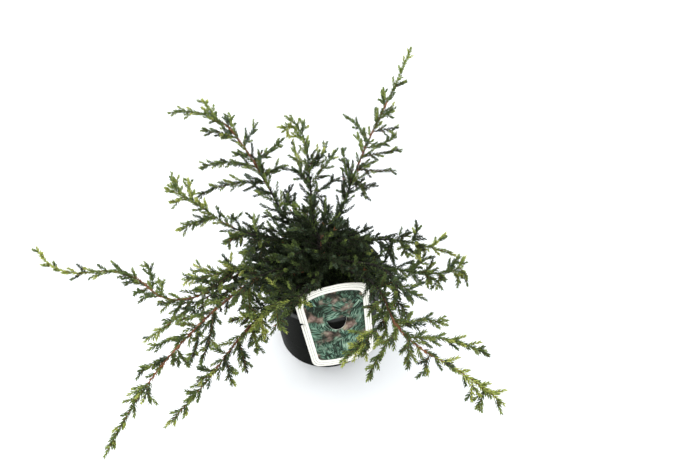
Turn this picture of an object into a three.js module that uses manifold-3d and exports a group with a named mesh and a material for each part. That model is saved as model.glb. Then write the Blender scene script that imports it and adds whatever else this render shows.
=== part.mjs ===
// A young spreading conifer in its nursery pot, with a picture label hung over the rim.
//
// Millimetres, +Z up. The origin is the middle of the pot's flat underside, and the label hangs on
// the -Y side. A short trunk stands in the compost. Each main shoot starts on it as a bare bough and
// goes on as a mass of foliage: a stem with side twigs. Shorter masses start on the trunk itself and
// close the middle of the crown. The needles stand in whorls of three along every twig, so a twig is
// a three-sided sweep that swells at each whorl.
import * as THREE from 'three';
import { mergeVertices } from 'three/addons/utils/BufferGeometryUtils.js';
import Module from 'manifold-3d';

const wasm = await Module();
wasm.setup();

const RAD = Math.PI / 180;
const UP = new THREE.Vector3(0, 0, 1);
const GOLDEN_ANGLE = 137.5;

// Clear gap left between pieces that rest on each other.
const SEAT_GAP = 0.3;

// Pot: a thin tapered shell with a lip outside its rim.
const POT_HEIGHT = 100;
const POT_RIM_RADIUS = 65;
const POT_FOOT_RADIUS = 54;
const POT_WALL = 1.6;
const LIP_HEIGHT = 8.5;
const LIP_STAND_OUT = 1.8;
const LIP_ROUND = 0.8;
const LIP_DRAFT = 0.3;
const FOOT_ROUND = 1;
const POT_SIDES = 48;
const DRAIN_HOLES = 6;
const DRAIN_HOLE_RADIUS = 4.5;
const DRAIN_HOLE_SIDES = 8;
const DRAIN_CIRCLE_RADIUS = 38;

// Compost: level round the trunk, and a little lower at the wall.
const COMPOST_TOP = 90;
const COMPOST_WALL_TOP = 87.5;
const COMPOST_LEVEL_RADIUS = 14;

// Label: a card, curved round the pot, whose tongue hooks over the rim; it hangs turned by LABEL_TILT
// in its own plane. The arches of its top and bottom edges start, at the corners, at
// LABEL_ARCH_START of their height.
const LABEL_HEADING = -79;
const LABEL_LEAN = 15;
const LABEL_TILT = 4;
const LABEL_TOP_WIDTH = 78;
const LABEL_BOTTOM_WIDTH = 67;
const LABEL_ABOVE_RIM = 40.5;
const LABEL_BELOW_RIM = 59;
const LABEL_TOP_ARCH = 10.5;
const LABEL_BOTTOM_ARCH = 3;
const LABEL_ARCH_START = 0.35;
const LABEL_CORNER = 7;
const LABEL_THICKNESS = 0.8;
const LABEL_BEND_RADIUS = 150;
const LABEL_NOTCH = 4.5;
const LABEL_NOTCH_HEIGHT = 3.4;
const TONGUE_HOLE_WIDTH = 21;
const TONGUE_HOLE_LENGTH = 14;
const TONGUE_WIDTH = 16;
const TONGUE_DROP = 6;

// Trunk: from the compost to its tip inside the crown, with a flare of three roots at the foot.
const TRUNK_HEIGHT = 62;
const TRUNK_FOOT_RADIUS = 8.5;
const TRUNK_COLLAR_HEIGHT = 8;
const TRUNK_COLLAR_RADIUS = 5.2;
const TRUNK_TIP_RADIUS = 2.6;
const TRUNK_LEAN = 4;
const TRUNK_LEAN_HEADING = 75;
const TRUNK_SIDES = 9;
const TRUNK_RING_HEIGHTS = [0, 1.5, 4, TRUNK_COLLAR_HEIGHT, 20, 34, 48, TRUNK_HEIGHT];
const ROOT_LOBE = 0.16;

// Boughs, and the stems and twigs that grow on from them.
const BOUGH_LENGTH = 22;
const BOUGH_LENGTH_SHARE = 0.08;
const BOUGH_ROOT_RADIUS = 2.1;
const BOUGH_TIP_RADIUS = 1.35;
const BOUGH_SIDES = 5;
const STEM_ROOT_RADIUS = 1.3;
const STEM_TIP_RADIUS = 0.9;
const STEM_SIDES = 3;

// Needles: one whorl of three about each WHORL_STEP along a twig, reaching WHORL_RADIUS from its
// middle, with the whorls at the tip narrower by TIP_NARROWING. A shoot's stem carries whorls for
// LEAFY_END from its tip. Each step of a stem is bent in FINE_STEPS.
const WHORL_STEP = 10.5;
const WHORL_RADIUS = 3.7;
const WHORL_TIP_PLACE = 0.7;
const TIP_NARROWING = 0.35;
const LEAFY_END = 62;
const FINE_STEPS = 4;

// Twigs: bare for NECK_LENGTH, with a thinner root sunk to the middle of the stem. A twig leaves
// its stem at TWIG_OPENING and bends forward to TWIG_TIP_OPENING. Twigs longer than FORKING_TWIG
// carry twigs of their own.
const TWIG_RADIUS = 0.85;
const TWIG_ROOT_RADIUS = 0.42;
const NECK_LENGTH = 4;
const SHORTEST_TWIG = 6;
const FORKING_TWIG = 28;
const LIFT_SHARE = 0.7;
const TWIG_OPENING = 62;
const TWIG_TIP_OPENING = 34;
const ROLL_SPREAD = 30;
const TAPER_POWER = 0.8;

// Twigs by rule: how far from the stem's root and tip they stay, the spacing, the length of the
// longest, and the first seed of the kind.
const SHOOT_TWIGS = { fromRoot: 8, fromTip: 16, spacing: 18, longest: 27, seed: 100 };
const SIDE_TWIGS = { fromRoot: 9, fromTip: 6, spacing: 24, longest: 8 };
const TUFT_TWIGS = { fromRoot: 14, fromTip: 10, spacing: 9, longest: 20, seed: 200 };

// Room that a twig needs round it: to another mass or a limb, and to the twigs of its own mass,
// which it may meet only near its root. A listed twig may cross those of its own mass.
const BEAD_STEP = 2;
const CLEAR_GAP = 0.7;
const SISTER_SPACING = 5;
const SISTER_FREE_LENGTH = 9;
const LABEL_BEAD_PITCH = 5;

// Main shoots. `foot` is the height where the shoot leaves the trunk. `heading` (anticlockwise from
// +X) and `rise` (above level) are its directions in degrees at even shares of its length. Each listed
// twig holds its place along the shoot as a share, its turn from the shoot (left is positive), how
// far it curls on, its rise, and its length.
const SHOOTS = [
  {
    name: 'back_right', foot: 117, length: 250,
    heading: [62, 62, 56, 62], rise: [45, 37, 31, 34],
    twigs: [
      [0.32, 40, -10, 15, 52], [0.33, -75, 10, 0, 30], [0.4, -75, 15, 0, 42], [0.46, -60, 0, 10, 44],
      [0.5, -60, 60, 5, 42], [0.52, 35, 40, 0, 60], [0.58, -60, 0, 10, 28], [0.62, 40, -15, 15, 22],
      [0.65, -40, 0, 25, 20], [0.7, 40, -15, 15, 28], [0.36, -110, -40, -5, 34],
    ],
  },
  {
    name: 'back', foot: 127, length: 157,
    heading: [112, 94, 96, 144], rise: [46, 50, 41, 6],
    twigs: [
      [0.34, -30, -50, 12, 43], [0.46, -50, 10, 20, 50], [0.41, 29, -27, 30, 61],
      [0.54, -50, 30, 15, 42], [0.75, 45, -10, 18, 16], [0.86, 56, 18, 12, 21],
      [0.81, -45, 17, 14, 19], [0.93, 106, 34, -11, 22],
    ],
  },
  {
    name: 'back_left', foot: 118, length: 248,
    heading: [142, 122, 128, 198], rise: [27, 36, 23, 0],
    twigs: [
      [0.4, 42, 66, 3, 80], [0.43, -65, -45, 0, 34], [0.48, 30, 70, 10, 66], [0.51, -80, 15, 0, 50],
      [0.6, -60, 0, 10, 36], [0.64, 30, 50, 20, 42], [0.7, -50, 25, 5, 28], [0.78, -35, 5, 5, 38],
    ],
  },
  {
    name: 'left_upper', foot: 126, length: 176,
    heading: [172, 189, 147, 169], rise: [41, 19, 22, 27],
    twigs: [
      [0.4, -75, -15, 5, 30], [0.5, 65, 10, 5, 24], [0.56, -70, -10, 5, 16], [0.68, 65, -10, 0, 40],
      [0.74, -70, 35, -10, 24], [0.83, -55, 0, 10, 32], [0.9, -50, 0, 10, 22], [0.88, 62, -3, 8, 16],
      [0.93, -61, 17, 9, 24], [0.45, 52, -7, 15, 29], [0.36, 56, 12, 10, 43], [0.33, 69, 2, 6, 40],
    ],
  },
  {
    name: 'left_middle', foot: 121, length: 138,
    heading: [208, 202, 208, 154], rise: [37, 16, 4, 22],
    twigs: [[0.69, -74, -4, 6, 25], [0.8, 37, -37, 14, 40], [0.7, 39, -6, 17, 47]],
  },
  {
    name: 'far_left', foot: 112, length: 328, leafy: 110,
    heading: [180, 216, 206, 133, 201, 116], rise: [36, 8, -14, 10, 9, 22],
    twigs: [
      [0.55, 45, 0, 15, 18], [0.58, -50, 35, 5, 40], [0.61, 30, 45, 25, 24], [0.47, 70, -6, -6, 24],
      [0.44, 53, 26, 2, 27],
    ],
  },
  {
    name: 'left_lower', foot: 102, length: 204,
    heading: [198, 204, 213, 208], rise: [36, 8, -13, -22],
    twigs: [[0.6, -67, 14, -1, 20], [0.5, 53, -20, 3, 32]],
  },
  {
    name: 'front_left_long', foot: 110, length: 308,
    heading: [214, 231, 232, 247], rise: [45, 11, -11, -19],
    twigs: [
      [0.49, 42, -15, 5, 62], [0.52, -70, 50, 5, 26], [0.56, 50, -25, 5, 42],
      [0.59, -45, 20, -10, 40], [0.65, 70, 10, 0, 24], [0.68, -30, 0, -10, 30],
      [0.77, -20, -30, -20, 22], [0.78, 50, 0, -5, 18], [0.29, 21, -3, 25, 55],
      [0.34, 56, -25, 8, 45],
    ],
  },
  {
    name: 'front_left', foot: 101, length: 244,
    heading: [244, 230, 235, 218], rise: [41, 9, -15, -23],
    twigs: [
      [0.51, 65, -25, 0, 34], [0.58, 52, 0, 0, 38], [0.65, -70, -15, 0, 16], [0.66, 50, 0, -5, 32],
      [0.73, -60, -10, -5, 16], [0.39, -48, -22, -6, 25], [0.45, 45, -27, 4, 24],
    ],
  },
  {
    name: 'front_left_short', foot: 117, length: 148,
    heading: [258, 258, 205, 188], rise: [44, 12, 0, 4],
    twigs: [[0.7, 70, 10, 0, 26], [0.8, 72, 15, 0, 32], [0.52, -89, 68, 9, 36]],
  },
  {
    name: 'front_right_long', foot: 107, length: 275,
    heading: [-50, -56, -81, -31, -43], rise: [44, 28, 6, -8, -14],
    twigs: [
      [0.59, 95, -75, 8, 46], [0.59, -65, 16, -3, 61], [0.64, 63, -46, -6, 74],
      [0.64, -40, 0, -5, 30], [0.73, -80, 15, 5, 24], [0.78, 55, 0, -5, 14], [0.88, -59, -2, -4, 20],
      [0.9, -30, 50, 10, 16], [0.93, -75, -12, -4, 20], [0.95, 50, 0, 5, 12], [0.97, -40, 0, -3, 14],
    ],
  },
  {
    name: 'right', foot: 113, length: 150,
    heading: [-18, -31, -20, 7], rise: [34, 14, 3, 24],
    twigs: [
      [0.84, -85, -25, 5, 24], [0.88, 46, 11, 1, 26], [0.93, -69, -13, 5, 18],
      [0.74, -46, -35, 17, 22], [0.64, 77, -38, 3, 30], [0.96, 45, 14, 4, 18],
      [0.98, -65, -30, 10, 18],
    ],
  },
  {
    name: 'right_upper', foot: 120, length: 146,
    heading: [18, -12, -26, -41], rise: [35, 18, 6, 10],
    twigs: [
      [0.66, 84, 38, 3, 31], [0.8, 70, 10, 8, 24], [0.57, -52, -8, 7, 28], [0.68, -45, -37, 20, 33],
      [0.51, -84, -4, 7, 33],
    ],
  },
  {
    name: 'right_lower', foot: 101, length: 117,
    heading: [-26, -37, -21, -28], rise: [39, 11, -5, -12],
    twigs: [
      [0.7, 69, -5, 1, 24], [0.81, 67, -24, -2, 23], [0.7, -49, -14, 2, 19], [0.81, -44, -16, 3, 18],
    ],
  },
  {
    name: 'front_right_curl', foot: 122, length: 205,
    heading: [-52, -28, -123, -159], rise: [43, 13, -13, -28],
    twigs: [
      [0.68, -59, 51, -1, 17], [0.73, 56, -50, 2, 25], [0.79, -47, 43, -11, 19],
      [0.84, 56, -46, -2, 21], [0.61, 58, -33, -2, 25],
    ],
  },
  {
    name: 'right_back_short', foot: 128, length: 62,
    heading: [38, -30, 4], rise: [44, 35, 33],
    twigs: [],
  },
];

// Masses that start on the trunk itself. Each row is a ring of them: how many, the heights of the
// first and the last foot, the heading of the first and the step to the next, the rise at the foot
// and at the tip, and the length. They are up to GAP_SHORTENING shorter round GAP_HEADING, where the
// crown stays open.
const TUFT_RINGS = [
  { count: 4, low: 104, high: 122, heading: 25, step: 42, rise: 32, tipRise: 12, length: 84 },
  { count: 7, low: 122, high: 131, heading: 0, step: 51.4, rise: 28, tipRise: 12, length: 74 },
  { count: 7, low: 133, high: 142, heading: 26, step: 51.4, rise: 38, tipRise: 16, length: 66 },
  { count: 5, low: 144, high: 150, heading: 0, step: 72, rise: 60, tipRise: 40, length: 46 },
];
const GAP_HEADING = 40;
const GAP_SHORTENING = 0.5;
const TUFT_BARE = 14;
const TUFT_TRIES = 13;
const TUFT_SHIFT = 8;

const MATERIALS = {
  plastic: new THREE.MeshStandardMaterial({ color: 0x17181a, roughness: 0.45 }),
  compost: new THREE.MeshStandardMaterial({ color: 0x33261c, roughness: 1 }),
  card: new THREE.MeshStandardMaterial({ color: 0xe9e6da, roughness: 0.5 }),
  bark: new THREE.MeshStandardMaterial({ color: 0x7a4a2c, roughness: 0.85 }),
  needles: new THREE.MeshStandardMaterial({ color: 0x4f6b2c, roughness: 0.6 }),
};

const plant = new THREE.Group();

// ---- Geometry helpers -------------------------------------------------------------------------

// A repeatable stream of numbers from 0 to 1.
function seeded(seed) {
  let state = seed;
  return () => {
    state = (state * 1664525 + 1013904223) % 4294967296;
    return state / 4294967296;
  };
}

// The value at share t of a list of evenly spaced controls.
function blend(controls, t) {
  const place = Math.min(Math.max(t, 0), 1) * (controls.length - 1);
  const low = Math.min(Math.floor(place), controls.length - 2);
  return controls[low] + (controls[low + 1] - controls[low]) * (place - low);
}

function direction(heading, rise) {
  const level = Math.cos(rise * RAD);
  return new THREE.Vector3(
    level * Math.cos(heading * RAD),
    level * Math.sin(heading * RAD),
    Math.sin(rise * RAD),
  );
}

// A stem's middle line: straight steps, each about WHORL_STEP long, so that a sweep with a ring at
// each corner has its middle on the line. aim(t) is the stem's direction at share t.
function stemLine(root, aim, length) {
  const count = Math.max(1, Math.round(length / WHORL_STEP));
  const step = length / count;
  const points = [root.clone()];
  for (let i = 0; i < count; i += 1) {
    const point = points[i].clone();
    for (let j = 0; j < FINE_STEPS; j += 1) {
      point.addScaledVector(aim((i + (j + 0.5) / FINE_STEPS) / count), step / FINE_STEPS);
    }
    points.push(point);
  }
  return { points, length, step };
}

function pointOn(line, at) {
  const last = line.points.length - 1;
  const place = Math.min(Math.max(at / line.step, 0), last);
  const low = Math.min(Math.floor(place), last - 1);
  return line.points[low].clone().lerp(line.points[low + 1], place - low);
}

function directionOn(line, at) {
  return pointOn(line, at + line.step / 2).sub(pointOn(line, at - line.step / 2)).normalize();
}

// The place of the line's corner nearest to a place.
function cornerNear(line, at) {
  return line.step * Math.round(at / line.step);
}

// Directions square to a stem: to its left, and up from it.
function sideAndLift(along) {
  const side = UP.clone().cross(along).normalize();
  return { side, lift: along.clone().cross(side) };
}

// A closed sweep. Each ring has its distance along the line, its radius and perhaps a turn in
// degrees; the root end is flat, and the tip is a point or flat.
function sweep(line, rings, sides, tip) {
  const corners = [];
  const faces = [];
  for (const { at, radius, turn = 0 } of rings) {
    const middle = pointOn(line, at);
    const { side, lift } = sideAndLift(directionOn(line, at));
    for (let i = 0; i < sides; i += 1) {
      const angle = (360 / sides) * i + turn;
      const corner = middle.clone();
      corner.addScaledVector(side, radius * Math.cos(angle * RAD));
      corner.addScaledVector(lift, radius * Math.sin(angle * RAD));
      corners.push(corner);
    }
  }
  for (let k = 0; k + 1 < rings.length; k += 1) {
    for (let i = 0; i < sides; i += 1) {
      const a = k * sides + i;
      const b = k * sides + ((i + 1) % sides);
      faces.push(a, b, a + sides, b, b + sides, a + sides);
    }
  }
  for (let i = 1; i + 1 < sides; i += 1) faces.push(0, i + 1, i);
  const last = (rings.length - 1) * sides;
  if (tip === 'point') {
    corners.push(pointOn(line, line.length));
    for (let i = 0; i < sides; i += 1) faces.push(last + i, last + ((i + 1) % sides), last + sides);
  } else {
    for (let i = 1; i + 1 < sides; i += 1) faces.push(last, last + i, last + i + 1);
  }
  const geometry = new THREE.BufferGeometry().setFromPoints(corners);
  geometry.setIndex(faces);
  return geometry;
}

// A three.js geometry as a manifold-3d solid, and back.
function solidOf(geometry) {
  const bare = new THREE.BufferGeometry();
  bare.setAttribute('position', geometry.getAttribute('position'));
  bare.setIndex(geometry.getIndex());
  const merged = mergeVertices(bare, 1e-4);
  const corners = merged.getIndex().array;
  const kept = [];
  for (let i = 0; i < corners.length; i += 3) {
    const [a, b, c] = [corners[i], corners[i + 1], corners[i + 2]];
    if (a !== b && b !== c && c !== a) kept.push(a, b, c);
  }
  return new wasm.Manifold(
    new wasm.Mesh({
      numProp: 3,
      vertProperties: new Float32Array(merged.getAttribute('position').array),
      triVerts: new Uint32Array(kept),
    }),
  );
}

function geometryOf(solid) {
  const mesh = solid.getMesh();
  const geometry = new THREE.BufferGeometry();
  geometry.setAttribute('position', new THREE.BufferAttribute(mesh.vertProperties, mesh.numProp));
  geometry.setIndex(new THREE.BufferAttribute(mesh.triVerts, 1));
  return geometry;
}

function addPiece(name, geometry, material) {
  const mesh = new THREE.Mesh(geometry, material);
  mesh.name = name;
  plant.add(mesh);
}

// ---- Pot and compost --------------------------------------------------------------------------

// Inside radius of the pot at a height above its floor.
function potInside(height) {
  const draft = (POT_RIM_RADIUS - LIP_STAND_OUT - POT_FOOT_RADIUS) / POT_HEIGHT;
  return POT_FOOT_RADIUS + draft * height - POT_WALL;
}

function potGeometry() {
  const wallTop = POT_RIM_RADIUS - LIP_STAND_OUT;
  const lipFoot = POT_HEIGHT - LIP_HEIGHT;
  const profile = [
    [0, 0],
    [POT_FOOT_RADIUS - FOOT_ROUND, 0],
    [POT_FOOT_RADIUS, FOOT_ROUND],
    [potInside(lipFoot) + POT_WALL, lipFoot],
    [POT_RIM_RADIUS - LIP_DRAFT, lipFoot],
    [POT_RIM_RADIUS, POT_HEIGHT - LIP_ROUND],
    [POT_RIM_RADIUS - LIP_ROUND, POT_HEIGHT],
    [wallTop - POT_WALL, POT_HEIGHT],
    [potInside(POT_WALL), POT_WALL],
    [0, POT_WALL],
  ].map(([radius, height]) => new THREE.Vector2(radius, height));
  const shell = new THREE.LatheGeometry(profile, POT_SIDES).rotateX(Math.PI / 2);
  let pot = solidOf(shell);
  for (let i = 0; i < DRAIN_HOLES; i += 1) {
    const angle = (360 / DRAIN_HOLES) * i * RAD;
    const punch = new THREE.CylinderGeometry(
      DRAIN_HOLE_RADIUS, DRAIN_HOLE_RADIUS, 3 * POT_WALL, DRAIN_HOLE_SIDES,
    ).rotateX(Math.PI / 2);
    punch.translate(DRAIN_CIRCLE_RADIUS * Math.cos(angle), DRAIN_CIRCLE_RADIUS * Math.sin(angle), 0);
    pot = pot.subtract(solidOf(punch));
  }
  return geometryOf(pot);
}

function compostGeometry() {
  const foot = POT_WALL + SEAT_GAP;
  const profile = [
    [0, foot],
    [potInside(foot) - SEAT_GAP, foot],
    [potInside(COMPOST_WALL_TOP) - SEAT_GAP, COMPOST_WALL_TOP],
    [COMPOST_LEVEL_RADIUS, COMPOST_TOP],
    [0, COMPOST_TOP],
  ].map(([radius, height]) => new THREE.Vector2(radius, height));
  return geometryOf(solidOf(new THREE.LatheGeometry(profile, POT_SIDES).rotateX(Math.PI / 2)));
}

// ---- Label ------------------------------------------------------------------------------------

// The card's outline seen square on, with its tongue hole; u runs across and v up from the rim.
// It is listed for the right half, going up, and then mirrored for the left half, going down.
function labelOutline() {
  const halfTop = LABEL_TOP_WIDTH / 2;
  const halfBottom = LABEL_BOTTOM_WIDTH / 2;
  const shoulder = LABEL_ABOVE_RIM - LABEL_TOP_ARCH;
  const hem = LABEL_BOTTOM_ARCH - LABEL_BELOW_RIM;
  const edgeAt = (v) => halfBottom + ((halfTop - halfBottom) * (v - hem)) / (shoulder - hem);
  const hemEdge = hem - LABEL_BOTTOM_ARCH * LABEL_ARCH_START;
  const topEdge = shoulder + LABEL_TOP_ARCH * LABEL_ARCH_START;
  const side = [
    [edgeAt(-LABEL_NOTCH_HEIGHT / 2), -LABEL_NOTCH_HEIGHT / 2],
    [edgeAt(0) - LABEL_NOTCH, 0],
    [edgeAt(LABEL_NOTCH_HEIGHT / 2), LABEL_NOTCH_HEIGHT / 2],
    [edgeAt(shoulder - LABEL_CORNER), shoulder - LABEL_CORNER],
  ];
  const outline = new THREE.Shape();
  outline.moveTo(halfBottom - LABEL_CORNER, hemEdge);
  outline.quadraticCurveTo(halfBottom, hem, edgeAt(hem + LABEL_CORNER), hem + LABEL_CORNER);
  for (const [u, v] of side) outline.lineTo(u, v);
  outline.quadraticCurveTo(halfTop, shoulder, halfTop - LABEL_CORNER, topEdge);
  outline.quadraticCurveTo(0, 2 * LABEL_ABOVE_RIM - topEdge, LABEL_CORNER - halfTop, topEdge);
  const [lastU, lastV] = side.pop();
  outline.quadraticCurveTo(-halfTop, shoulder, -lastU, lastV);
  for (const [u, v] of side.reverse()) outline.lineTo(-u, v);
  outline.lineTo(-edgeAt(hem + LABEL_CORNER), hem + LABEL_CORNER);
  outline.quadraticCurveTo(-halfBottom, hem, LABEL_CORNER - halfBottom, hemEdge);
  outline.quadraticCurveTo(0, -2 * LABEL_BELOW_RIM - hemEdge, halfBottom - LABEL_CORNER, hemEdge);
  const hole = new THREE.Path();
  const shoulderOfHole = TONGUE_HOLE_WIDTH / 2.4;
  hole.moveTo(-TONGUE_HOLE_WIDTH / 2, 0);
  hole.quadraticCurveTo(-shoulderOfHole, -TONGUE_HOLE_LENGTH, 0, -TONGUE_HOLE_LENGTH);
  hole.quadraticCurveTo(shoulderOfHole, -TONGUE_HOLE_LENGTH, TONGUE_HOLE_WIDTH / 2, 0);
  hole.closePath();
  outline.holes.push(hole);
  return outline;
}

// An outline in the x-z plane, extruded to both sides of y = 0.
function extrudeAcross(outline, depth) {
  const plate = new THREE.ExtrudeGeometry(outline, { depth, bevelEnabled: false, curveSegments: 6 });
  return plate.translate(0, 0, -depth / 2).rotateX(Math.PI / 2);
}

function labelGeometry() {
  // The sheet: an arc a little wider than the card and as thick as it, extruded upwards.
  const halfAngle = Math.asin((LABEL_TOP_WIDTH / 2 + LABEL_CORNER) / LABEL_BEND_RADIUS);
  const from = -Math.PI / 2 - halfAngle;
  const to = -Math.PI / 2 + halfAngle;
  const sheetArc = new THREE.Shape();
  sheetArc.absarc(0, LABEL_BEND_RADIUS, LABEL_BEND_RADIUS, from, to, false);
  sheetArc.absarc(0, LABEL_BEND_RADIUS, LABEL_BEND_RADIUS - LABEL_THICKNESS, to, from, true);
  const sheetHeight = 2 * (LABEL_ABOVE_RIM + LABEL_BELOW_RIM);
  const sheet = new THREE.ExtrudeGeometry(sheetArc, {
    depth: sheetHeight, bevelEnabled: false, curveSegments: 5,
  }).translate(0, 0, -sheetHeight / 2);
  const cut = extrudeAcross(labelOutline(), LABEL_TOP_WIDTH).rotateY(-LABEL_TILT * RAD);
  return geometryOf(solidOf(sheet).intersect(solidOf(cut)));
}

// The tongue, in the upright plane through the rim: back over the rim, then down inside the wall.
function tongueGeometry() {
  const wall = potInside(POT_HEIGHT - TONGUE_DROP);
  const back = Math.sqrt(wall ** 2 - (TONGUE_WIDTH / 2) ** 2) - 2 * SEAT_GAP;
  const front = POT_RIM_RADIUS + 2 * SEAT_GAP;
  const over = POT_HEIGHT + SEAT_GAP;
  const strap = new THREE.Shape();
  strap.moveTo(front, over);
  strap.lineTo(front, over + LABEL_THICKNESS);
  strap.lineTo(back - LABEL_THICKNESS, over + LABEL_THICKNESS);
  strap.lineTo(back - LABEL_THICKNESS, POT_HEIGHT - TONGUE_DROP);
  strap.lineTo(back, POT_HEIGHT - TONGUE_DROP);
  strap.lineTo(back, over);
  strap.closePath();
  return extrudeAcross(strap, TONGUE_WIDTH);
}

// The card hangs with its sheet 0.3 mm clear of the lip, square to LABEL_HEADING.
function hungLabel() {
  const card = labelGeometry();
  card.rotateX(-LABEL_LEAN * RAD);
  card.rotateZ((LABEL_HEADING + 90) * RAD);
  const out = direction(LABEL_HEADING, 0).multiplyScalar(POT_RIM_RADIUS + SEAT_GAP + LABEL_THICKNESS);
  card.translate(out.x, out.y, POT_HEIGHT);
  const tongue = tongueGeometry().rotateZ(LABEL_HEADING * RAD);
  return geometryOf(solidOf(card).add(solidOf(tongue)));
}

// ---- Trunk ------------------------------------------------------------------------------------

const trunkFoot = new THREE.Vector3(0, 0, COMPOST_TOP + SEAT_GAP);
const trunkLean = direction(TRUNK_LEAN_HEADING, 0).multiplyScalar(TRUNK_LEAN);

// The trunk's radius at a height above its own foot.
function trunkRadius(height) {
  if (height < TRUNK_COLLAR_HEIGHT) {
    const t = Math.sqrt(height / TRUNK_COLLAR_HEIGHT);
    return TRUNK_FOOT_RADIUS + (TRUNK_COLLAR_RADIUS - TRUNK_FOOT_RADIUS) * t;
  }
  const t = (height - TRUNK_COLLAR_HEIGHT) / (TRUNK_HEIGHT - TRUNK_COLLAR_HEIGHT);
  return TRUNK_COLLAR_RADIUS + (TRUNK_TIP_RADIUS - TRUNK_COLLAR_RADIUS) * t;
}

// The trunk's middle at a height above the pot's underside.
function trunkMiddle(z) {
  const share = (z - trunkFoot.z) / TRUNK_HEIGHT;
  return new THREE.Vector3(0, 0, z).addScaledVector(trunkLean, share ** 2);
}

// A turned post, bent over to its lean, whose foot swells into three roots.
function trunkGeometry() {
  const profile = TRUNK_RING_HEIGHTS.map((height) => new THREE.Vector2(trunkRadius(height), height));
  profile.unshift(new THREE.Vector2(0, 0));
  profile.push(new THREE.Vector2(0, TRUNK_HEIGHT));
  const post = new THREE.LatheGeometry(profile, TRUNK_SIDES).rotateX(Math.PI / 2);
  const corners = post.getAttribute('position');
  for (let i = 0; i < corners.count; i += 1) {
    const [x, y, height] = [corners.getX(i), corners.getY(i), corners.getZ(i)];
    const flare = Math.max(0, 1 - height / (2 * TRUNK_COLLAR_HEIGHT));
    const swell = 1 + ROOT_LOBE * flare * Math.cos(3 * Math.atan2(y, x));
    const middle = trunkMiddle(trunkFoot.z + height);
    corners.setXYZ(i, middle.x + x * swell, middle.y + y * swell, middle.z);
  }
  return geometryOf(solidOf(post));
}

// Where a limb starts: just clear of the trunk's side.
function limbRoot(z, heading, rise, radius) {
  const reach = trunkRadius(z - trunkFoot.z) + SEAT_GAP + radius * Math.sin(rise * RAD);
  return trunkMiddle(z).addScaledVector(direction(heading, 0), reach);
}

// ---- Room in the crown ------------------------------------------------------------------------

// Everything placed so far, as beads along its middle line.
const beads = [];

function fillRoom(line, from, to, radius, owner) {
  for (let at = from; at <= to; at += BEAD_STEP) {
    beads.push({ middle: pointOn(line, at), radius, owner });
  }
}

// Whether a twig that is leafy from its neck on would leave its own mass's room, or touch a limb,
// the pot or the label.
function crowded(line, owner, neck, sisterSpacing = SISTER_SPACING) {
  for (let at = 0; at <= line.length; at += BEAD_STEP) {
    const middle = pointOn(line, at);
    const radius = at < neck ? TWIG_RADIUS : WHORL_RADIUS;
    const overPot = Math.hypot(middle.x, middle.y) < POT_RIM_RADIUS + radius + CLEAR_GAP;
    if (overPot && middle.z < POT_HEIGHT + radius + CLEAR_GAP) return true;
    for (const bead of beads) {
      const sister = bead.owner === owner;
      if (sister && at < SISTER_FREE_LENGTH) continue;
      const room = sister ? sisterSpacing : radius + bead.radius + CLEAR_GAP;
      if (middle.distanceToSquared(bead.middle) < room * room) return true;
    }
  }
  return false;
}

// The card of the label takes room too: a sheet of beads, each as far apart as they are thick.
function fillLabelRoom() {
  const out = direction(LABEL_HEADING, 0);
  const across = direction(LABEL_HEADING + 90, 0);
  for (let v = -LABEL_BELOW_RIM; v <= LABEL_ABOVE_RIM; v += LABEL_BEAD_PITCH) {
    for (let u = -LABEL_TOP_WIDTH / 2; u <= LABEL_TOP_WIDTH / 2; u += LABEL_BEAD_PITCH) {
      const fallBack = (u * u) / (2 * LABEL_BEND_RADIUS);
      const middle = new THREE.Vector3(0, 0, POT_HEIGHT + v * Math.cos(LABEL_LEAN * RAD));
      const reach = POT_RIM_RADIUS - fallBack - v * Math.sin(LABEL_LEAN * RAD);
      middle.addScaledVector(out, reach).addScaledVector(across, u);
      beads.push({ middle, radius: LABEL_BEAD_PITCH / 2, owner: 'label' });
    }
  }
}

// ---- Shoots, tufts and their twigs ------------------------------------------------------------

// Rings of a bare stem: one where it starts, and one at each corner of its line up to its end.
function bareRings(line, from, to, fromRadius, toRadius) {
  const places = [from];
  for (let at = cornerNear(line, from) + line.step; at < to - line.step / 2; at += line.step) {
    places.push(at);
  }
  return places.map((at) => {
    const radius = fromRadius + ((toRadius - fromRadius) * (at - from)) / (to - from);
    return { at, radius };
  });
}

// Rings of a leafy stem from a corner of its line on: each whorl swells from the stem to its three
// needle tips, which stand between the corners of the stem.
function whorlRings(line, from, radius, rootRadius) {
  const side = 360 / STEM_SIDES;
  const count = Math.round((line.length - from) / line.step);
  const rings = [];
  for (let i = 0; i < count; i += 1) {
    const reach = WHORL_RADIUS * (1 - TIP_NARROWING * (i / count) ** 2);
    rings.push({ at: from + i * line.step, radius: i === 0 ? rootRadius : radius, turn: i * side });
    rings.push({ at: from + (i + WHORL_TIP_PLACE) * line.step, radius: reach, turn: (i + 0.5) * side });
  }
  return rings;
}

const masses = [];

function newMass(name, line, from, leafyFrom) {
  const mass = { name, line, from, leafyFrom, twigs: [] };
  masses.push(mass);
  fillRoom(line, from, leafyFrom, STEM_ROOT_RADIUS, name);
  fillRoom(line, leafyFrom, line.length, WHORL_RADIUS, name);
  return mass;
}

// Adds a twig to a mass, from a place on one of its stems, where there is room for it.
function addTwig(mass, stem, at, aim, length, sisterSpacing = SISTER_SPACING) {
  const line = stemLine(pointOn(stem, at), aim, length);
  if (crowded(line, mass.name, NECK_LENGTH, sisterSpacing)) return;
  mass.twigs.push(line);
  fillRoom(line, NECK_LENGTH, line.length, WHORL_RADIUS, mass.name);
}

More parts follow.
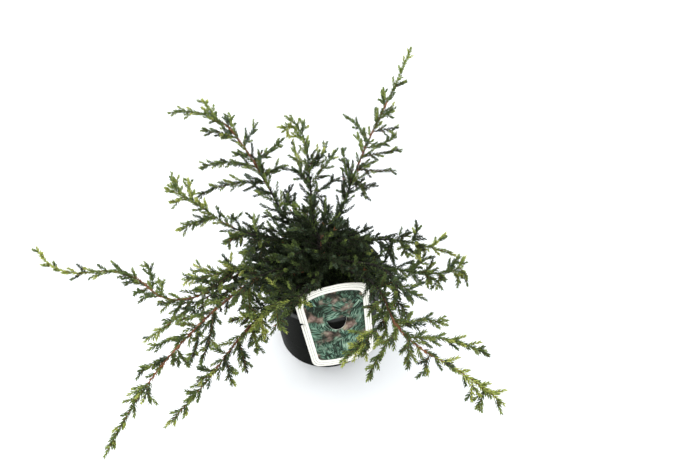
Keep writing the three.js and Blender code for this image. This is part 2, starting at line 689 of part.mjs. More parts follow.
// The direction that leaves a stem at an opening angle, on the side of it given by roll. Twigs
// spread more to the sides than up and down.
function leaving(along, roll, opening) {
  const { side, lift } = sideAndLift(along);
  const outward = side.multiplyScalar(Math.cos(roll * RAD));
  outward.addScaledVector(lift, Math.sin(roll * RAD) * LIFT_SHARE);
  outward.normalize().multiplyScalar(Math.sin(opening * RAD));
  return outward.addScaledVector(along, Math.cos(opening * RAD));
}

// A size that differs by up to a fifth from the usual one.
function varied(size, next) {
  return size * (0.8 + 0.4 * next());
}

// Side twigs by rule: one each spacing along a stem, each further round it by the golden angle,
// bending forward, and shorter towards the stem's tip.
function growTwigs(mass, line, from, kind, next) {
  let at = from + kind.fromRoot;
  let roll = 360 * next();
  while (at < line.length - kind.fromTip) {
    const left = (line.length - at) / line.length;
    const length = varied(kind.longest * left ** TAPER_POWER + SHORTEST_TWIG, next);
    roll += GOLDEN_ANGLE + ROLL_SPREAD * (next() - 0.5);
    const along = directionOn(line, at);
    const start = leaving(along, roll, TWIG_OPENING);
    const end = leaving(along, roll, TWIG_TIP_OPENING);
    const aim = (t) => start.clone().lerp(end, t).normalize();
    addTwig(mass, line, at, aim, length);
    at += varied(kind.spacing, next);
  }
}

const shoots = SHOOTS.map((shoot) => {
  const root = limbRoot(shoot.foot, shoot.heading[0], shoot.rise[0], BOUGH_ROOT_RADIUS);
  const aim = (t) => direction(blend(shoot.heading, t), blend(shoot.rise, t));
  const line = stemLine(root, aim, shoot.length);
  const boughEnd = cornerNear(line, BOUGH_LENGTH + BOUGH_LENGTH_SHARE * shoot.length);
  fillRoom(line, 0, boughEnd, BOUGH_ROOT_RADIUS, `bough_${shoot.name}`);
  const bareEnd = Math.max(boughEnd + line.step, shoot.length - (shoot.leafy ?? LEAFY_END));
  const leafyFrom = cornerNear(line, bareEnd);
  const mass = newMass(`foliage_${shoot.name}`, line, boughEnd + SEAT_GAP, leafyFrom);
  return { ...shoot, line, boughEnd, mass };
});

fillLabelRoom();

// The listed twigs.
for (const { twigs, line, length, mass } of shoots) {
  for (const [place, turn, curl, rise, twigLength] of twigs) {
    const along = directionOn(line, place * length);
    const heading = Math.atan2(along.y, along.x) / RAD + turn;
    const aim = (t) => direction(heading + curl * t, rise);
    addTwig(mass, line, place * length, aim, twigLength, 0);
  }
}

// The tufts: where a tuft's own place is taken, it starts a little further round the trunk.
const tufts = [];
for (const ring of TUFT_RINGS) {
  for (let i = 0; i < ring.count; i += 1) {
    const foot = ring.low + ((ring.high - ring.low) * i) / Math.max(1, ring.count - 1);
    for (let shift = 0; shift < TUFT_TRIES; shift += 1) {
      const aside = TUFT_SHIFT * Math.ceil(shift / 2) * (shift % 2 === 0 ? 1 : -1);
      const heading = ring.heading + ring.step * i + aside;
      const root = limbRoot(foot, heading, ring.rise, STEM_ROOT_RADIUS);
      const aim = (t) => direction(heading, blend([ring.rise, ring.tipRise], t));
      const intoGap = Math.max(0, Math.cos((heading - GAP_HEADING) * RAD)) ** 3;
      const length = ring.length * (1 - GAP_SHORTENING * intoGap);
      const line = stemLine(root, aim, length);
      if (crowded(line, 'none', TUFT_BARE)) continue;
      const name = `foliage_middle_${String(tufts.length + 1).padStart(2, '0')}`;
      tufts.push(newMass(name, line, 0, cornerNear(line, TUFT_BARE)));
      break;
    }
  }
}

// Twigs by rule: on the listed twigs, along the shoots, then on the tufts.
shoots.forEach(({ mass, line, boughEnd }, index) => {
  const next = seeded(SHOOT_TWIGS.seed + index);
  for (const twig of [...mass.twigs]) {
    if (twig.length >= FORKING_TWIG) growTwigs(mass, twig, 0, SIDE_TWIGS, next);
  }
  growTwigs(mass, line, boughEnd, SHOOT_TWIGS, next);
});
tufts.forEach((mass, index) => {
  growTwigs(mass, mass.line, 0, TUFT_TWIGS, seeded(TUFT_TWIGS.seed + index));
});

function boughGeometry({ line, boughEnd }) {
  const rings = bareRings(line, 0, boughEnd, BOUGH_ROOT_RADIUS, BOUGH_TIP_RADIUS);
  rings.push({ at: boughEnd, radius: BOUGH_TIP_RADIUS });
  return sweep(line, rings, BOUGH_SIDES, 'flat');
}

// A stem and its twigs, whose roots start on the line of the stem that they grow from.
function massGeometry({ line, from, leafyFrom, twigs }) {
  const bare = bareRings(line, from, leafyFrom, STEM_ROOT_RADIUS, STEM_TIP_RADIUS);
  const leafy = whorlRings(line, leafyFrom, STEM_TIP_RADIUS, STEM_TIP_RADIUS);
  let solid = solidOf(sweep(line, [...bare, ...leafy], STEM_SIDES, 'point'));
  for (const twig of twigs) {
    const rings = whorlRings(twig, 0, TWIG_RADIUS, TWIG_ROOT_RADIUS);
    solid = solid.add(solidOf(sweep(twig, rings, STEM_SIDES, 'point')));
  }
  return geometryOf(solid);
}

// ---- The whole plant --------------------------------------------------------------------------

addPiece('pot', potGeometry(), MATERIALS.plastic);
addPiece('compost', compostGeometry(), MATERIALS.compost);
addPiece('label', hungLabel(), MATERIALS.card);
addPiece('trunk', trunkGeometry(), MATERIALS.bark);
for (const shoot of shoots) {
  addPiece(`bough_${shoot.name}`, boughGeometry(shoot), MATERIALS.bark);
}
for (const mass of masses) {
  addPiece(mass.name, massGeometry(mass), MATERIALS.needles);
}

export default plant;
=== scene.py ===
import math

import bmesh
import bpy
import numpy as np
from mathutils import Matrix, Vector, geometry, noise


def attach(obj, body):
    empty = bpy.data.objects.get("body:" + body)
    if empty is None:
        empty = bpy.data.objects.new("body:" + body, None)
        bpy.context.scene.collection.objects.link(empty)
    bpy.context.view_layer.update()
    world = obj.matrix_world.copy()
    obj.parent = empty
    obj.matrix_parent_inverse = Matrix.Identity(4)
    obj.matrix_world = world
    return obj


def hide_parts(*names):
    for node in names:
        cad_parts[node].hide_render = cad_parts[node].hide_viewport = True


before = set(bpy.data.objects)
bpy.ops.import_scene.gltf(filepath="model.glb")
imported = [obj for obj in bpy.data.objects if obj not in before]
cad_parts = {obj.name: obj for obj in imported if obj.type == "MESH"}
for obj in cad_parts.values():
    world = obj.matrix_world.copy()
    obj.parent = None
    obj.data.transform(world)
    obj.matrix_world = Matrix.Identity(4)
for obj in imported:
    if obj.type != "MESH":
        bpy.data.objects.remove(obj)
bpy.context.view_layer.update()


# ---- Nursery pot ----
# A thin pot, moulded from black polyethylene in one piece: a tapered wall, a lip turned out at the
# rim, and a floor with six drain holes that is drawn up a little inside its standing ring.

MM = 0.001
POT_HEIGHT = 100
POT_RIM_RADIUS = 65
POT_FOOT_RADIUS = 54
POT_WALL = 1.6
LIP_HEIGHT = 8.5
LIP_STAND_OUT = 1.8
LIP_DRAFT = 0.4
FLOOR_UNDERSIDE = 0.7
FLOOR_TOP = 2.2
STANDING_RING_WIDTH = 4
WALL_BEAD_FOOT = 30
WALL_BEAD_HEIGHT = 1.5
WALL_BEAD_OUT = 0.25
ON_AXIS = 0.01
POT_SIDES = 120
DRAIN_HOLES = 6
DRAIN_HOLE_RADIUS = 4.5
DRAIN_CIRCLE_RADIUS = 38
DRAIN_PUNCH_DEPTH = 8
POT_EDGE_ROUNDING = 0.9
POT_SHARP_ANGLE = math.radians(40)
WELD_DISTANCE = 0.00005


def new_material(name):
    """A node material and its node tree."""
    material = bpy.data.materials.new(name)
    material.use_nodes = True
    return material, material.node_tree


def set_inputs(node, inputs):
    """Joins each named input of a node to a socket, or sets it to a value."""
    for name, value in inputs.items():
        if isinstance(value, bpy.types.NodeSocket):
            node.id_data.links.new(value, node.inputs[name])
        else:
            node.inputs[name].default_value = value


def add_node(tree, kind, inputs, output=0, **settings):
    """One output of a new node, after its settings are made and its inputs filled."""
    node = tree.nodes.new("ShaderNode" + kind)
    for name, value in settings.items():
        setattr(node, name, value)
    set_inputs(node, inputs)
    return node.outputs[output]


def noise_node(tree, scale, detail=4.0, stretch=(1, 1, 1)):
    """A noise texture over the piece; scale is in waves per metre, stretch lengthens it by axis."""
    place = add_node(tree, "TexCoord", {}, "Object")
    stretched = add_node(tree, "Mapping", {"Vector": place, "Scale": stretch})
    return add_node(tree, "TexNoise", {"Vector": stretched, "Scale": scale, "Detail": detail}, "Fac")


def ramp_node(tree, value, stops):
    """A colour ramp; stops are pairs of place and linear colour."""
    colour = add_node(tree, "ValToRGB", {"Fac": value}, "Color")
    elements = colour.node.color_ramp.elements
    while len(elements) < len(stops):
        elements.new(0.5)
    for element, (place, shade) in zip(elements, stops):
        element.position = place
        element.color = (*shade, 1)
    return colour


def range_node(tree, value, low, high, start=0.0, end=1.0):
    """A value from start to end, spread between low and high."""
    inputs = {"Value": value, "From Min": start, "From Max": end, "To Min": low, "To Max": high}
    return add_node(tree, "MapRange", inputs, "Result")


def set_shader(tree, colour, roughness, relief=None, specular=0.5):
    """The finish of a material; relief is a value and its height in metres."""
    inputs = {"Base Color": colour, "Roughness": roughness, "Specular IOR Level": specular}
    if relief:
        inputs["Normal"] = add_node(tree, "Bump", {"Height": relief[0], "Distance": relief[1]}, "Normal")
    set_inputs(tree.nodes["Principled BSDF"], inputs)


def new_object(name, data):
    """A new object of the scene."""
    thing = bpy.data.objects.new(name, data)
    bpy.context.scene.collection.objects.link(thing)
    return thing


def add_piece(name, corners, faces, material, nodes, smooth=True):
    """A mesh piece of the plant, from corners in millimetres and faces of one size each."""
    corners = np.asarray(corners, dtype=np.float64) * MM
    faces = np.asarray(faces, dtype=np.int32)
    mesh = bpy.data.meshes.new(name)
    mesh.vertices.add(len(corners))
    mesh.vertices.foreach_set("co", corners.ravel())
    mesh.loops.add(faces.size)
    mesh.loops.foreach_set("vertex_index", faces.ravel())
    mesh.polygons.add(len(faces))
    mesh.polygons.foreach_set("loop_start", np.arange(0, faces.size, faces.shape[1], dtype=np.int32))
    mesh.update(calc_edges=True)
    if smooth:
        mesh.shade_smooth()
    mesh.materials.append(material)
    piece = new_object(name, mesh)
    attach(piece, "root")
    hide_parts(*nodes)
    return piece


def turned(profile, sides):
    """Corners and faces of a profile of radius and height, turned round the Z axis."""
    angles = np.arange(sides) * 2 * math.pi / sides
    ring = np.column_stack([np.cos(angles), np.sin(angles), np.zeros(sides)])
    rings = [ring * radius + (0, 0, z) for radius, z in profile]
    here = np.arange(sides)
    there = (here + 1) % sides
    faces = []
    for low in range(0, (len(profile) - 1) * sides, sides):
        high = low + sides
        faces.append(np.column_stack([low + here, low + there, high + there, high + here]))
    return np.vstack(rings), np.vstack(faces)


def wall_radius(z):
    """The outer radius of the pot's tapered wall at a height."""
    return POT_FOOT_RADIUS + (POT_RIM_RADIUS - LIP_STAND_OUT - POT_FOOT_RADIUS) * z / POT_HEIGHT


def rounded(points, radius, steps=5):
    """The same path with each inner corner rounded off."""
    out = [points[0]]
    for before, corner, after in zip(points, points[1:], points[2:]):
        corner = np.array(corner, float)
        a, b = np.array(before) - corner, np.array(after) - corner
        reach = min(radius, np.linalg.norm(a) * 0.45, np.linalg.norm(b) * 0.45)
        start = corner + a / np.linalg.norm(a) * reach
        end = corner + b / np.linalg.norm(b) * reach
        for t in np.linspace(0, 1, steps):
            out.append(tuple((1 - t) ** 2 * start + 2 * t * (1 - t) * corner + t * t * end))
    return out + [points[-1]]


lip_foot = POT_HEIGHT - LIP_HEIGHT
pot_profile = rounded([
    (ON_AXIS, FLOOR_UNDERSIDE), (POT_FOOT_RADIUS - STANDING_RING_WIDTH - 1, FLOOR_UNDERSIDE),
    (POT_FOOT_RADIUS - STANDING_RING_WIDTH, 0), (POT_FOOT_RADIUS, 0),
    (wall_radius(WALL_BEAD_FOOT), WALL_BEAD_FOOT),
    (wall_radius(WALL_BEAD_FOOT) + WALL_BEAD_OUT, WALL_BEAD_FOOT + WALL_BEAD_HEIGHT),
    (wall_radius(lip_foot) + 0.2, lip_foot), (POT_RIM_RADIUS - LIP_DRAFT, lip_foot + 0.3),
    (POT_RIM_RADIUS, POT_HEIGHT), (wall_radius(POT_HEIGHT) - POT_WALL, POT_HEIGHT),
    (wall_radius(lip_foot) - POT_WALL, lip_foot - 1), (wall_radius(2) - POT_WALL, FLOOR_TOP),
    (ON_AXIS, FLOOR_TOP),
], POT_EDGE_ROUNDING)
pot_corners, pot_faces = turned(pot_profile, POT_SIDES)

# Scuffed along its height, and worn glossier on the lip, from 92.5 mm up.
plastic, tree = new_material("black_polyethylene")
scuffs = noise_node(tree, 60, 6, (1, 1, 0.25))
height = add_node(tree, "SeparateXYZ", {"Vector": add_node(tree, "TexCoord", {}, "Object")}, "Z")
worn_lip = range_node(tree, height, 0.01, 0.3, 0.0925, 0.0945)
set_shader(tree, ramp_node(tree, scuffs, [(0.3, (0.0028, 0.0032, 0.0026)), (0.75, (0.009, 0.0095, 0.008))]),
           range_node(tree, scuffs, 0.32, 0.5), (noise_node(tree, 900, 3), 0.00015), worn_lip)

pot = add_piece("pot_shell", pot_corners, pot_faces, plastic, ["pot"])
shell = bmesh.new()
shell.from_mesh(pot.data)
bmesh.ops.remove_doubles(shell, verts=shell.verts, dist=WELD_DISTANCE)
bmesh.ops.recalc_face_normals(shell, faces=shell.faces)
shell.to_mesh(pot.data)
shell.free()
punches = bmesh.new()
for i in range(DRAIN_HOLES):
    angle = i * 2 * math.pi / DRAIN_HOLES
    centre = Vector((math.cos(angle), math.sin(angle), 0)) * DRAIN_CIRCLE_RADIUS * MM
    bmesh.ops.create_cone(punches, cap_ends=True, segments=32, radius1=DRAIN_HOLE_RADIUS * MM,
                          radius2=DRAIN_HOLE_RADIUS * MM, depth=DRAIN_PUNCH_DEPTH * MM,
                          matrix=Matrix.Translation(centre))
punch_mesh = bpy.data.meshes.new("drain_punches")
punches.to_mesh(punch_mesh)
punches.free()
punch = new_object("drain_punches", punch_mesh)
cut = pot.modifiers.new("drain_holes", "BOOLEAN")
cut.operation = "DIFFERENCE"
cut.solver = "EXACT"
cut.object = punch
bpy.context.view_layer.update()
cut_mesh = bpy.data.meshes.new_from_object(pot.evaluated_get(bpy.context.evaluated_depsgraph_get()))
pot.modifiers.clear()
pot.data = cut_mesh
bpy.data.objects.remove(punch)
pot.data.shade_smooth()
pot.data.set_sharp_from_angle(angle=POT_SHARP_ANGLE)


# ---- Compost ----
# Peat with fine bark, pressed level round the stem and a little lower at the wall. It is moist and
# dark, and its top is loose crumbs with a few lighter chips of bark.

COMPOST_TOP = 90
COMPOST_WALL_TOP = 87.5
COMPOST_LEVEL_RADIUS = 14
COMPOST_GAP = 0.4
COMPOST_RADIUS = wall_radius(COMPOST_WALL_TOP) - POT_WALL - COMPOST_GAP
COMPOST_FOOT = 3
COMPOST_RINGS = 44
COMPOST_SIDES = 110


def compost_level(radius):
    """The height of the compost at a distance from the pot's middle."""
    share = np.clip((radius - COMPOST_LEVEL_RADIUS) / (COMPOST_RADIUS - COMPOST_LEVEL_RADIUS), 0, 1)
    return COMPOST_TOP + (COMPOST_WALL_TOP - COMPOST_TOP) * share


def compost_place(radius, angle):
    """A place on the uneven top of the compost."""
    x, y = radius * math.cos(angle), radius * math.sin(angle)
    waves = 1.6 * noise.noise((x * 0.06, y * 0.06, 3)) + 0.9 * noise.noise((x * 0.35, y * 0.35, 7)) - 0.8
    return x, y, compost_level(radius) + waves


def closed_rings(rings, root, tip):
    """Corners and triangles of a form made of rings of corners and closed at its root and tip."""
    corners = np.vstack([*rings, [root, tip]])
    sides, count = len(rings[0]), len(corners) - 2
    here, last = np.arange(sides), count - sides
    there = (here + 1) % sides
    low = np.arange(0, last, sides)[:, None]
    first = np.stack([low + here, low + there, low + sides + here], axis=-1).reshape(-1, 3)
    second = np.stack([low + there, low + sides + there, low + sides + here], axis=-1).reshape(-1, 3)
    root_cap = np.column_stack([np.full(sides, count), there, here])
    tip_cap = np.column_stack([np.full(sides, count + 1), last + here, last + there])
    return corners, np.vstack([first, second, root_cap, tip_cap])


def grained_material(name, grain, stops, roughness, relief=0.0, specular=0.5):
    """A material of one grain, with its colours; a pair of roughnesses follows the grain too."""
    material, tree = new_material(name)
    fibre = noise_node(tree, *grain)
    if isinstance(roughness, tuple):
        roughness = range_node(tree, fibre, *roughness)
    set_shader(tree, ramp_node(tree, fibre, stops), roughness, relief and (fibre, relief), specular)
    return material


angles = np.arange(COMPOST_SIDES) * 2 * math.pi / COMPOST_SIDES
foot_radius = wall_radius(4) - POT_WALL - COMPOST_GAP
bed_rings = [[(foot_radius * math.cos(a), foot_radius * math.sin(a), COMPOST_FOOT) for a in angles]]
for k in range(COMPOST_RINGS, 0, -1):
    bed_rings.append([compost_place(COMPOST_RADIUS * k / COMPOST_RINGS, a) for a in angles])
bed_corners, bed_faces = closed_rings(bed_rings, (0, 0, COMPOST_FOOT), (0, 0, COMPOST_TOP - 0.8))

peat = grained_material("moist_peat", (420, 6), [
    (0.35, (0.008, 0.006, 0.004)), (0.55, (0.026, 0.018, 0.011)), (0.75, (0.07, 0.045, 0.027))], 0.95, 0.0012)
add_piece("compost_bed", bed_corners, bed_faces, peat, ["compost"])

GOLDEN = (1 + 5 ** 0.5) / 2
LUMP = np.array([(-1, GOLDEN, 0), (1, GOLDEN, 0), (-1, -GOLDEN, 0), (1, -GOLDEN, 0), (0, -1, GOLDEN),
                 (0, 1, GOLDEN), (0, -1, -GOLDEN), (0, 1, -GOLDEN), (GOLDEN, 0, -1), (GOLDEN, 0, 1),
                 (-GOLDEN, 0, -1), (-GOLDEN, 0, 1)]) / math.hypot(1, GOLDEN)
LUMP_FACES = np.array([(0, 11, 5), (0, 5, 1), (0, 1, 7), (0, 7, 10), (0, 10, 11), (1, 5, 9), (5, 11, 4),
                       (11, 10, 2), (10, 7, 6), (7, 1, 8), (3, 9, 4), (3, 4, 2), (3, 2, 6), (3, 6, 8),
                       (3, 8, 9), (4, 9, 5), (2, 4, 11), (6, 2, 10), (8, 6, 7), (9, 8, 1)])


def scattered_lumps(count, smallest, largest, flatness, seed):
    """Loose bits lying on the compost: uneven lumps, flattened and turned at random."""
    chance = np.random.default_rng(seed)
    corners, faces = [], []
    for i in range(count):
        radius = COMPOST_RADIUS * math.sqrt(chance.uniform(0.01, 0.93))
        angle = chance.uniform(0, 2 * math.pi)
        size = chance.uniform(smallest, largest)
        shape = LUMP * chance.uniform(0.75, 1.25, (12, 1)) * (1, chance.uniform(0.5, 0.9), flatness)
        turn = Matrix.Rotation(chance.uniform(0, 6.28), 3, "Z")
        turn = turn @ Matrix.Rotation(chance.uniform(-0.5, 0.5), 3, "X")
        lift = (0, 0, 0.3 * size * flatness)
        corners.append(shape * size @ np.array(turn).T + compost_place(radius, angle) + lift)
        faces.append(LUMP_FACES + len(LUMP) * i)
    return np.vstack(corners), np.vstack(faces)


chips = grained_material("bark_chips", (500, 4, (1, 0.2, 1)), [
    (0.3, (0.05, 0.025, 0.012)), (0.7, (0.16, 0.09, 0.05))], 0.85, 0.0005)
# Each kind of loose bit: its name, finish, count, smallest and largest size, flatness and seed.
LOOSE_BITS = (("crumbs", peat, 900, 0.6, 2.2, 0.7, 5), ("chips", chips, 110, 1.2, 3.4, 0.28, 9))
for name, stuff, *spread in LOOSE_BITS:
    corners, faces = scattered_lumps(*spread)
    add_piece(f"compost_{name}", corners, faces, stuff, ["compost"], smooth=False)


# ---- Trunk ----
# A short woody stem, flared into three roots where it enters the compost and leaning a little to the
# back. Its thin red-brown bark splits lengthwise into stringy ridges.

SEAT_GAP = 0.3
TRUNK_HEIGHT = 62
TRUNK_FOOT_RADIUS = 8.5
TRUNK_COLLAR_HEIGHT = 8
TRUNK_COLLAR_RADIUS = 5.2
TRUNK_TIP_RADIUS = 2.6
TRUNK_LEAN = 4
TRUNK_LEAN_HEADING = 75
ROOT_LOBE = 0.16
TRUNK_RINGS = 90
TRUNK_SIDES = 40
TRUNK_RELIEF = 0.3
TRUNK_SEED = 11
SMOOTH_RADIUS = 0.6  # thinner stems have no relief
TRUNK_FOOT_Z = COMPOST_TOP + SEAT_GAP
UP = np.array([0.0, 0.0, 1.0])
CROWN_MIDDLE = np.array([0.0, 0.0, 112.0])


def direction(heading, rise):
    """The unit vector that points along a heading and a rise, in degrees."""
    heading, rise = math.radians(heading), math.radians(rise)
    return np.array([math.cos(rise) * math.cos(heading), math.cos(rise) * math.sin(heading), math.sin(rise)])


def trunk_radius(height):
    if height < TRUNK_COLLAR_HEIGHT:
        t = math.sqrt(max(height, 0) / TRUNK_COLLAR_HEIGHT)
        return TRUNK_FOOT_RADIUS + (TRUNK_COLLAR_RADIUS - TRUNK_FOOT_RADIUS) * t
    t = (height - TRUNK_COLLAR_HEIGHT) / (TRUNK_HEIGHT - TRUNK_COLLAR_HEIGHT)
    return TRUNK_COLLAR_RADIUS + (TRUNK_TIP_RADIUS - TRUNK_COLLAR_RADIUS) * t


def trunk_middle(z):
    """The middle of the leaning trunk at a height."""
    share = (z - TRUNK_FOOT_Z) / TRUNK_HEIGHT
    return np.array([0, 0, z]) + direction(TRUNK_LEAN_HEADING, 0) * TRUNK_LEAN * share ** 2


def stringy(angle, along, seed):
    """Bark relief from -1 to 1: ridges that run along the stem, split and wander."""
    phase = np.random.default_rng(seed).uniform(0, 6.28, 6)
    waves = ((5, 0.13), (7, -0.21), (9, 0.34), (3, 0.5), (11, -0.09), (4, -0.75))
    return sum(np.sin(k * angle + m * along + p) for (k, m), p in zip(waves, phase)) / 3.5


def unit(rows):
    """Each row brought to a length of 1."""
    return rows / np.linalg.norm(rows, axis=1)[:, None]


def walked(points):
    """How far each point of a path lies from its first, along the path."""
    return np.concatenate([[0], np.cumsum(np.linalg.norm(np.diff(points, axis=0), axis=1))])


def tube(points, radii, sides, relief=0.0, seed=0, lobes=None):
    """A closed tube along points: its corners and triangles, with bark relief in millimetres."""
    points, radii = np.asarray(points, float), np.asarray(radii, float)
    along = unit(np.gradient(points, axis=0))
    across = unit(np.cross(UP if abs(along[0][2]) < 0.9 else (0, 1, 0), along))
    lift = np.cross(along, across)
    angle = np.arange(sides) * 2 * math.pi / sides
    ridges = stringy(angle[None, :], walked(points)[:, None], seed) * (radii[:, None] > SMOOTH_RADIUS)
    reach = radii[:, None] + relief * ridges
    if lobes is not None:
        reach = reach * (1 + lobes[:, None] * np.cos(3 * angle)[None, :])
    rim = across[:, None] * np.cos(angle)[None, :, None] + lift[:, None] * np.sin(angle)[None, :, None]
    rings = points[:, None] + rim * reach[..., None]
    return closed_rings(rings, points[0], points[-1] + along[-1] * radii[-1])


def mix_node(tree, factor, first, second):
    """Two colours mixed; each is a socket or a colour."""
    return add_node(tree, "Mix", {"Factor": factor, "A": first, "B": second}, "Result", data_type="RGBA")


def bark_material(name, furrow, ridge, height, shade_reach=(0.0, 0.001)):
    """Fibrous bark, darkened with painted shade from the crown's middle out to shade_reach, in metres."""
    material, tree = new_material(name)
    fibres = noise_node(tree, 260, 5, (1, 1, 0.3))
    ends = {0: add_node(tree, "TexCoord", {}, "Object"), 1: CROWN_MIDDLE * MM}
    from_middle = add_node(tree, "VectorMath", ends, "Value", operation="DISTANCE")
    grown = ramp_node(tree, fibres, [(0.32, furrow), (0.68, ridge)])
    # Painted shade: near the crown's middle the bark colour is mixed to near black, as if shaded by the
    # foliage.
    colour = mix_node(tree, range_node(tree, from_middle, 0, 1, *shade_reach), (0.014, 0.010, 0.006, 1), grown)
    set_shader(tree, colour, range_node(tree, fibres, 0.9, 0.6), (fibres, height))
    return material


old_bark = bark_material("stringy_bark", (0.05, 0.022, 0.012), (0.21, 0.10, 0.055), 0.0006)
trunk_heights = np.linspace(0, TRUNK_HEIGHT, TRUNK_RINGS)
trunk_points = [trunk_middle(TRUNK_FOOT_Z + h) for h in trunk_heights]
trunk_radii = np.array([trunk_radius(h) for h in trunk_heights])
trunk_lobes = ROOT_LOBE * np.clip(1 - trunk_heights / (2 * TRUNK_COLLAR_HEIGHT), 0, 1)
trunk_corners, trunk_faces = tube(trunk_points, trunk_radii - TRUNK_RELIEF, TRUNK_SIDES, TRUNK_RELIEF,
                                  TRUNK_SEED, trunk_lobes)
add_piece("trunk_bark", trunk_corners, trunk_faces, old_bark, ["trunk"])


# ---- Picture card ----
# A punched card of printed plastic, 0.8 mm thick and curved with the pot. A tongue cut out of its
# middle is folded back over the rim and holds it, and small notches mark the fold at both edges.

LABEL_HEADING = -79
LABEL_LEAN = math.radians(15)
LABEL_TILT = math.radians(4)
LABEL_TOP_WIDTH = 78
LABEL_BOTTOM_WIDTH = 67
LABEL_ABOVE_RIM = 40.5
LABEL_BELOW_RIM = 59
LABEL_TOP_ARCH = 10.5
LABEL_BOTTOM_ARCH = 3
LABEL_ARCH_START = 0.35
LABEL_CORNER = 7
LABEL_THICKNESS = 0.8
LABEL_BEND_RADIUS = 150
LABEL_NOTCH = 4.5
LABEL_NOTCH_HEIGHT = 3.4
PICTURE_MARGIN = 7.5
FRAME_LINES = ((2.0, 2.5), (4.3, 4.8))
TONGUE_HOLE_WIDTH = 21
TONGUE_HOLE_LENGTH = 14
TONGUE_WIDTH = 16
TONGUE_DROP = 6
TONGUE_CLEARANCE = 0.6
TONGUE_BEND_RADIUS = 0.8
# Places across and along the card of the inner corners that keep it smooth where it bends.
LATTICE_ACROSS = np.arange(-40, 41, 2.5)
LATTICE_ALONG = np.arange(-60, 40, 2.5)


def curve_through(start, bend, end, steps=8):
    """Points of a curve from start to just before end, drawn towards bend."""
    t = np.linspace(0, 1, steps, endpoint=False)[:, None]
    return (1 - t) ** 2 * np.array(start) + 2 * t * (1 - t) * np.array(bend) + t * t * np.array(end)


def card_outline(margin):
    """The card's outline, or with a margin that of its picture, as (u, v) points from the rim."""
    half_top, half_bottom = LABEL_TOP_WIDTH / 2, LABEL_BOTTOM_WIDTH / 2
    shoulder = LABEL_ABOVE_RIM - LABEL_TOP_ARCH
    hem = LABEL_BOTTOM_ARCH - LABEL_BELOW_RIM
    slope = (half_top - half_bottom) / (shoulder - hem)

    def side(v):
        return half_bottom + slope * (v - hem) - margin, v

    low, high = hem + margin, shoulder - margin
    hem_edge = low - LABEL_BOTTOM_ARCH * LABEL_ARCH_START
    top_edge = high + LABEL_TOP_ARCH * LABEL_ARCH_START
    top, bottom = LABEL_ABOVE_RIM - margin, margin - LABEL_BELOW_RIM
    corner = LABEL_CORNER - margin / 2
    hem_start, top_start = side(low)[0] - corner, side(high)[0] - corner
    bite = LABEL_NOTCH_HEIGHT / 2
    notch = [] if margin else [side(-bite), (side(0)[0] - LABEL_NOTCH, 0), side(bite)]
    right = [curve_through((0, bottom), (hem_start / 2, bottom), (hem_start, hem_edge)),
             curve_through((hem_start, hem_edge), side(low), side(low + corner)), [side(low + corner)], notch,
             curve_through(side(high - corner), side(high), (top_start, top_edge)),
             curve_through((top_start, top_edge), (top_start / 2, top + (top - top_edge) * 0.12), (0, top)),
             [(0, top)]]
    right = np.vstack([part for part in right if len(part)])
    return np.vstack([right, right[1:-1][::-1] * (-1, 1)])


def tongue_hole():
    """The outline of the hole that the folded tongue leaves in the card."""
    half, shoulder, foot = TONGUE_HOLE_WIDTH / 2, TONGUE_HOLE_WIDTH / 2.4, -TONGUE_HOLE_LENGTH
    left = curve_through((-half, 0), (-shoulder, foot), (0, foot), 10)
    right = curve_through((0, foot), (shoulder, foot), (half, 0), 10)
    return np.vstack([left, right, [(half, 0)]])


def inside(points, outline):
    """Which points lie inside a closed outline."""
    points, a = np.atleast_2d(points), np.asarray(outline)
    b = np.roll(a, -1, axis=0)
    x, y = points[:, 0, None], points[:, 1, None]
    spans = (a[:, 1] > y) != (b[:, 1] > y)
    rise = np.where(b[:, 1] == a[:, 1], 1e-9, b[:, 1] - a[:, 1])
    crossing = a[:, 0] + (y - a[:, 1]) * (b[:, 0] - a[:, 0]) / rise
    return (spans & (x < crossing)).sum(axis=1) % 2 == 1


def hang(u, v, depth):
    """The place on the hung card of (u, v), so far behind its printed face."""
    cos_tilt, sin_tilt, turn = math.cos(LABEL_TILT), math.sin(LABEL_TILT), math.radians(LABEL_HEADING + 90)
    u, v = u * cos_tilt - v * sin_tilt, u * sin_tilt + v * cos_tilt
    y = LABEL_BEND_RADIUS - np.sqrt((LABEL_BEND_RADIUS - depth) ** 2 - u ** 2)
    back = y * math.cos(LABEL_LEAN) + v * math.sin(LABEL_LEAN)
    z = v * math.cos(LABEL_LEAN) - y * math.sin(LABEL_LEAN)
    out = direction(LABEL_HEADING, 0) * (POT_RIM_RADIUS + SEAT_GAP + LABEL_THICKNESS)
    return np.column_stack([u * math.cos(turn) - back * math.sin(turn) + out[0],
                            u * math.sin(turn) + back * math.cos(turn) + out[1], z + POT_HEIGHT])


card_edge, picture_edge, hole_edge = card_outline(0), card_outline(PICTURE_MARGIN), tongue_hole()
line_edges = [(card_outline(outer), card_outline(inner)) for outer, inner in FRAME_LINES]
flat_points, flat_edges = [], []
for ring in (card_edge, picture_edge, hole_edge, *[edge for pair in line_edges for edge in pair]):
    start = len(flat_points)
    flat_points += [Vector(p) for p in ring]
    flat_edges += [(start + i, start + (i + 1) % len(ring)) for i in range(len(ring))]
lattice = [(u, v) for u in LATTICE_ACROSS for v in LATTICE_ALONG]
kept = inside(lattice, card_edge * 0.975) & ~inside(lattice, hole_edge * 1.1)
flat_points += [Vector(p) for p, keep in zip(lattice, kept) if keep]
net = geometry.delaunay_2d_cdt(flat_points, flat_edges, [], 0, 1e-5)
flat, cells = np.array([tuple(p) for p in net[0]]), np.array(net[2])
centres = flat[cells].mean(axis=1)
cells = cells[inside(centres, card_edge) & ~inside(centres, hole_edge)]
directed = np.vstack([cells[:, [0, 1]], cells[:, [1, 2]], cells[:, [2, 0]]])
_, first_seen, uses = np.unique(np.sort(directed, axis=1), axis=0, return_index=True, return_counts=True)
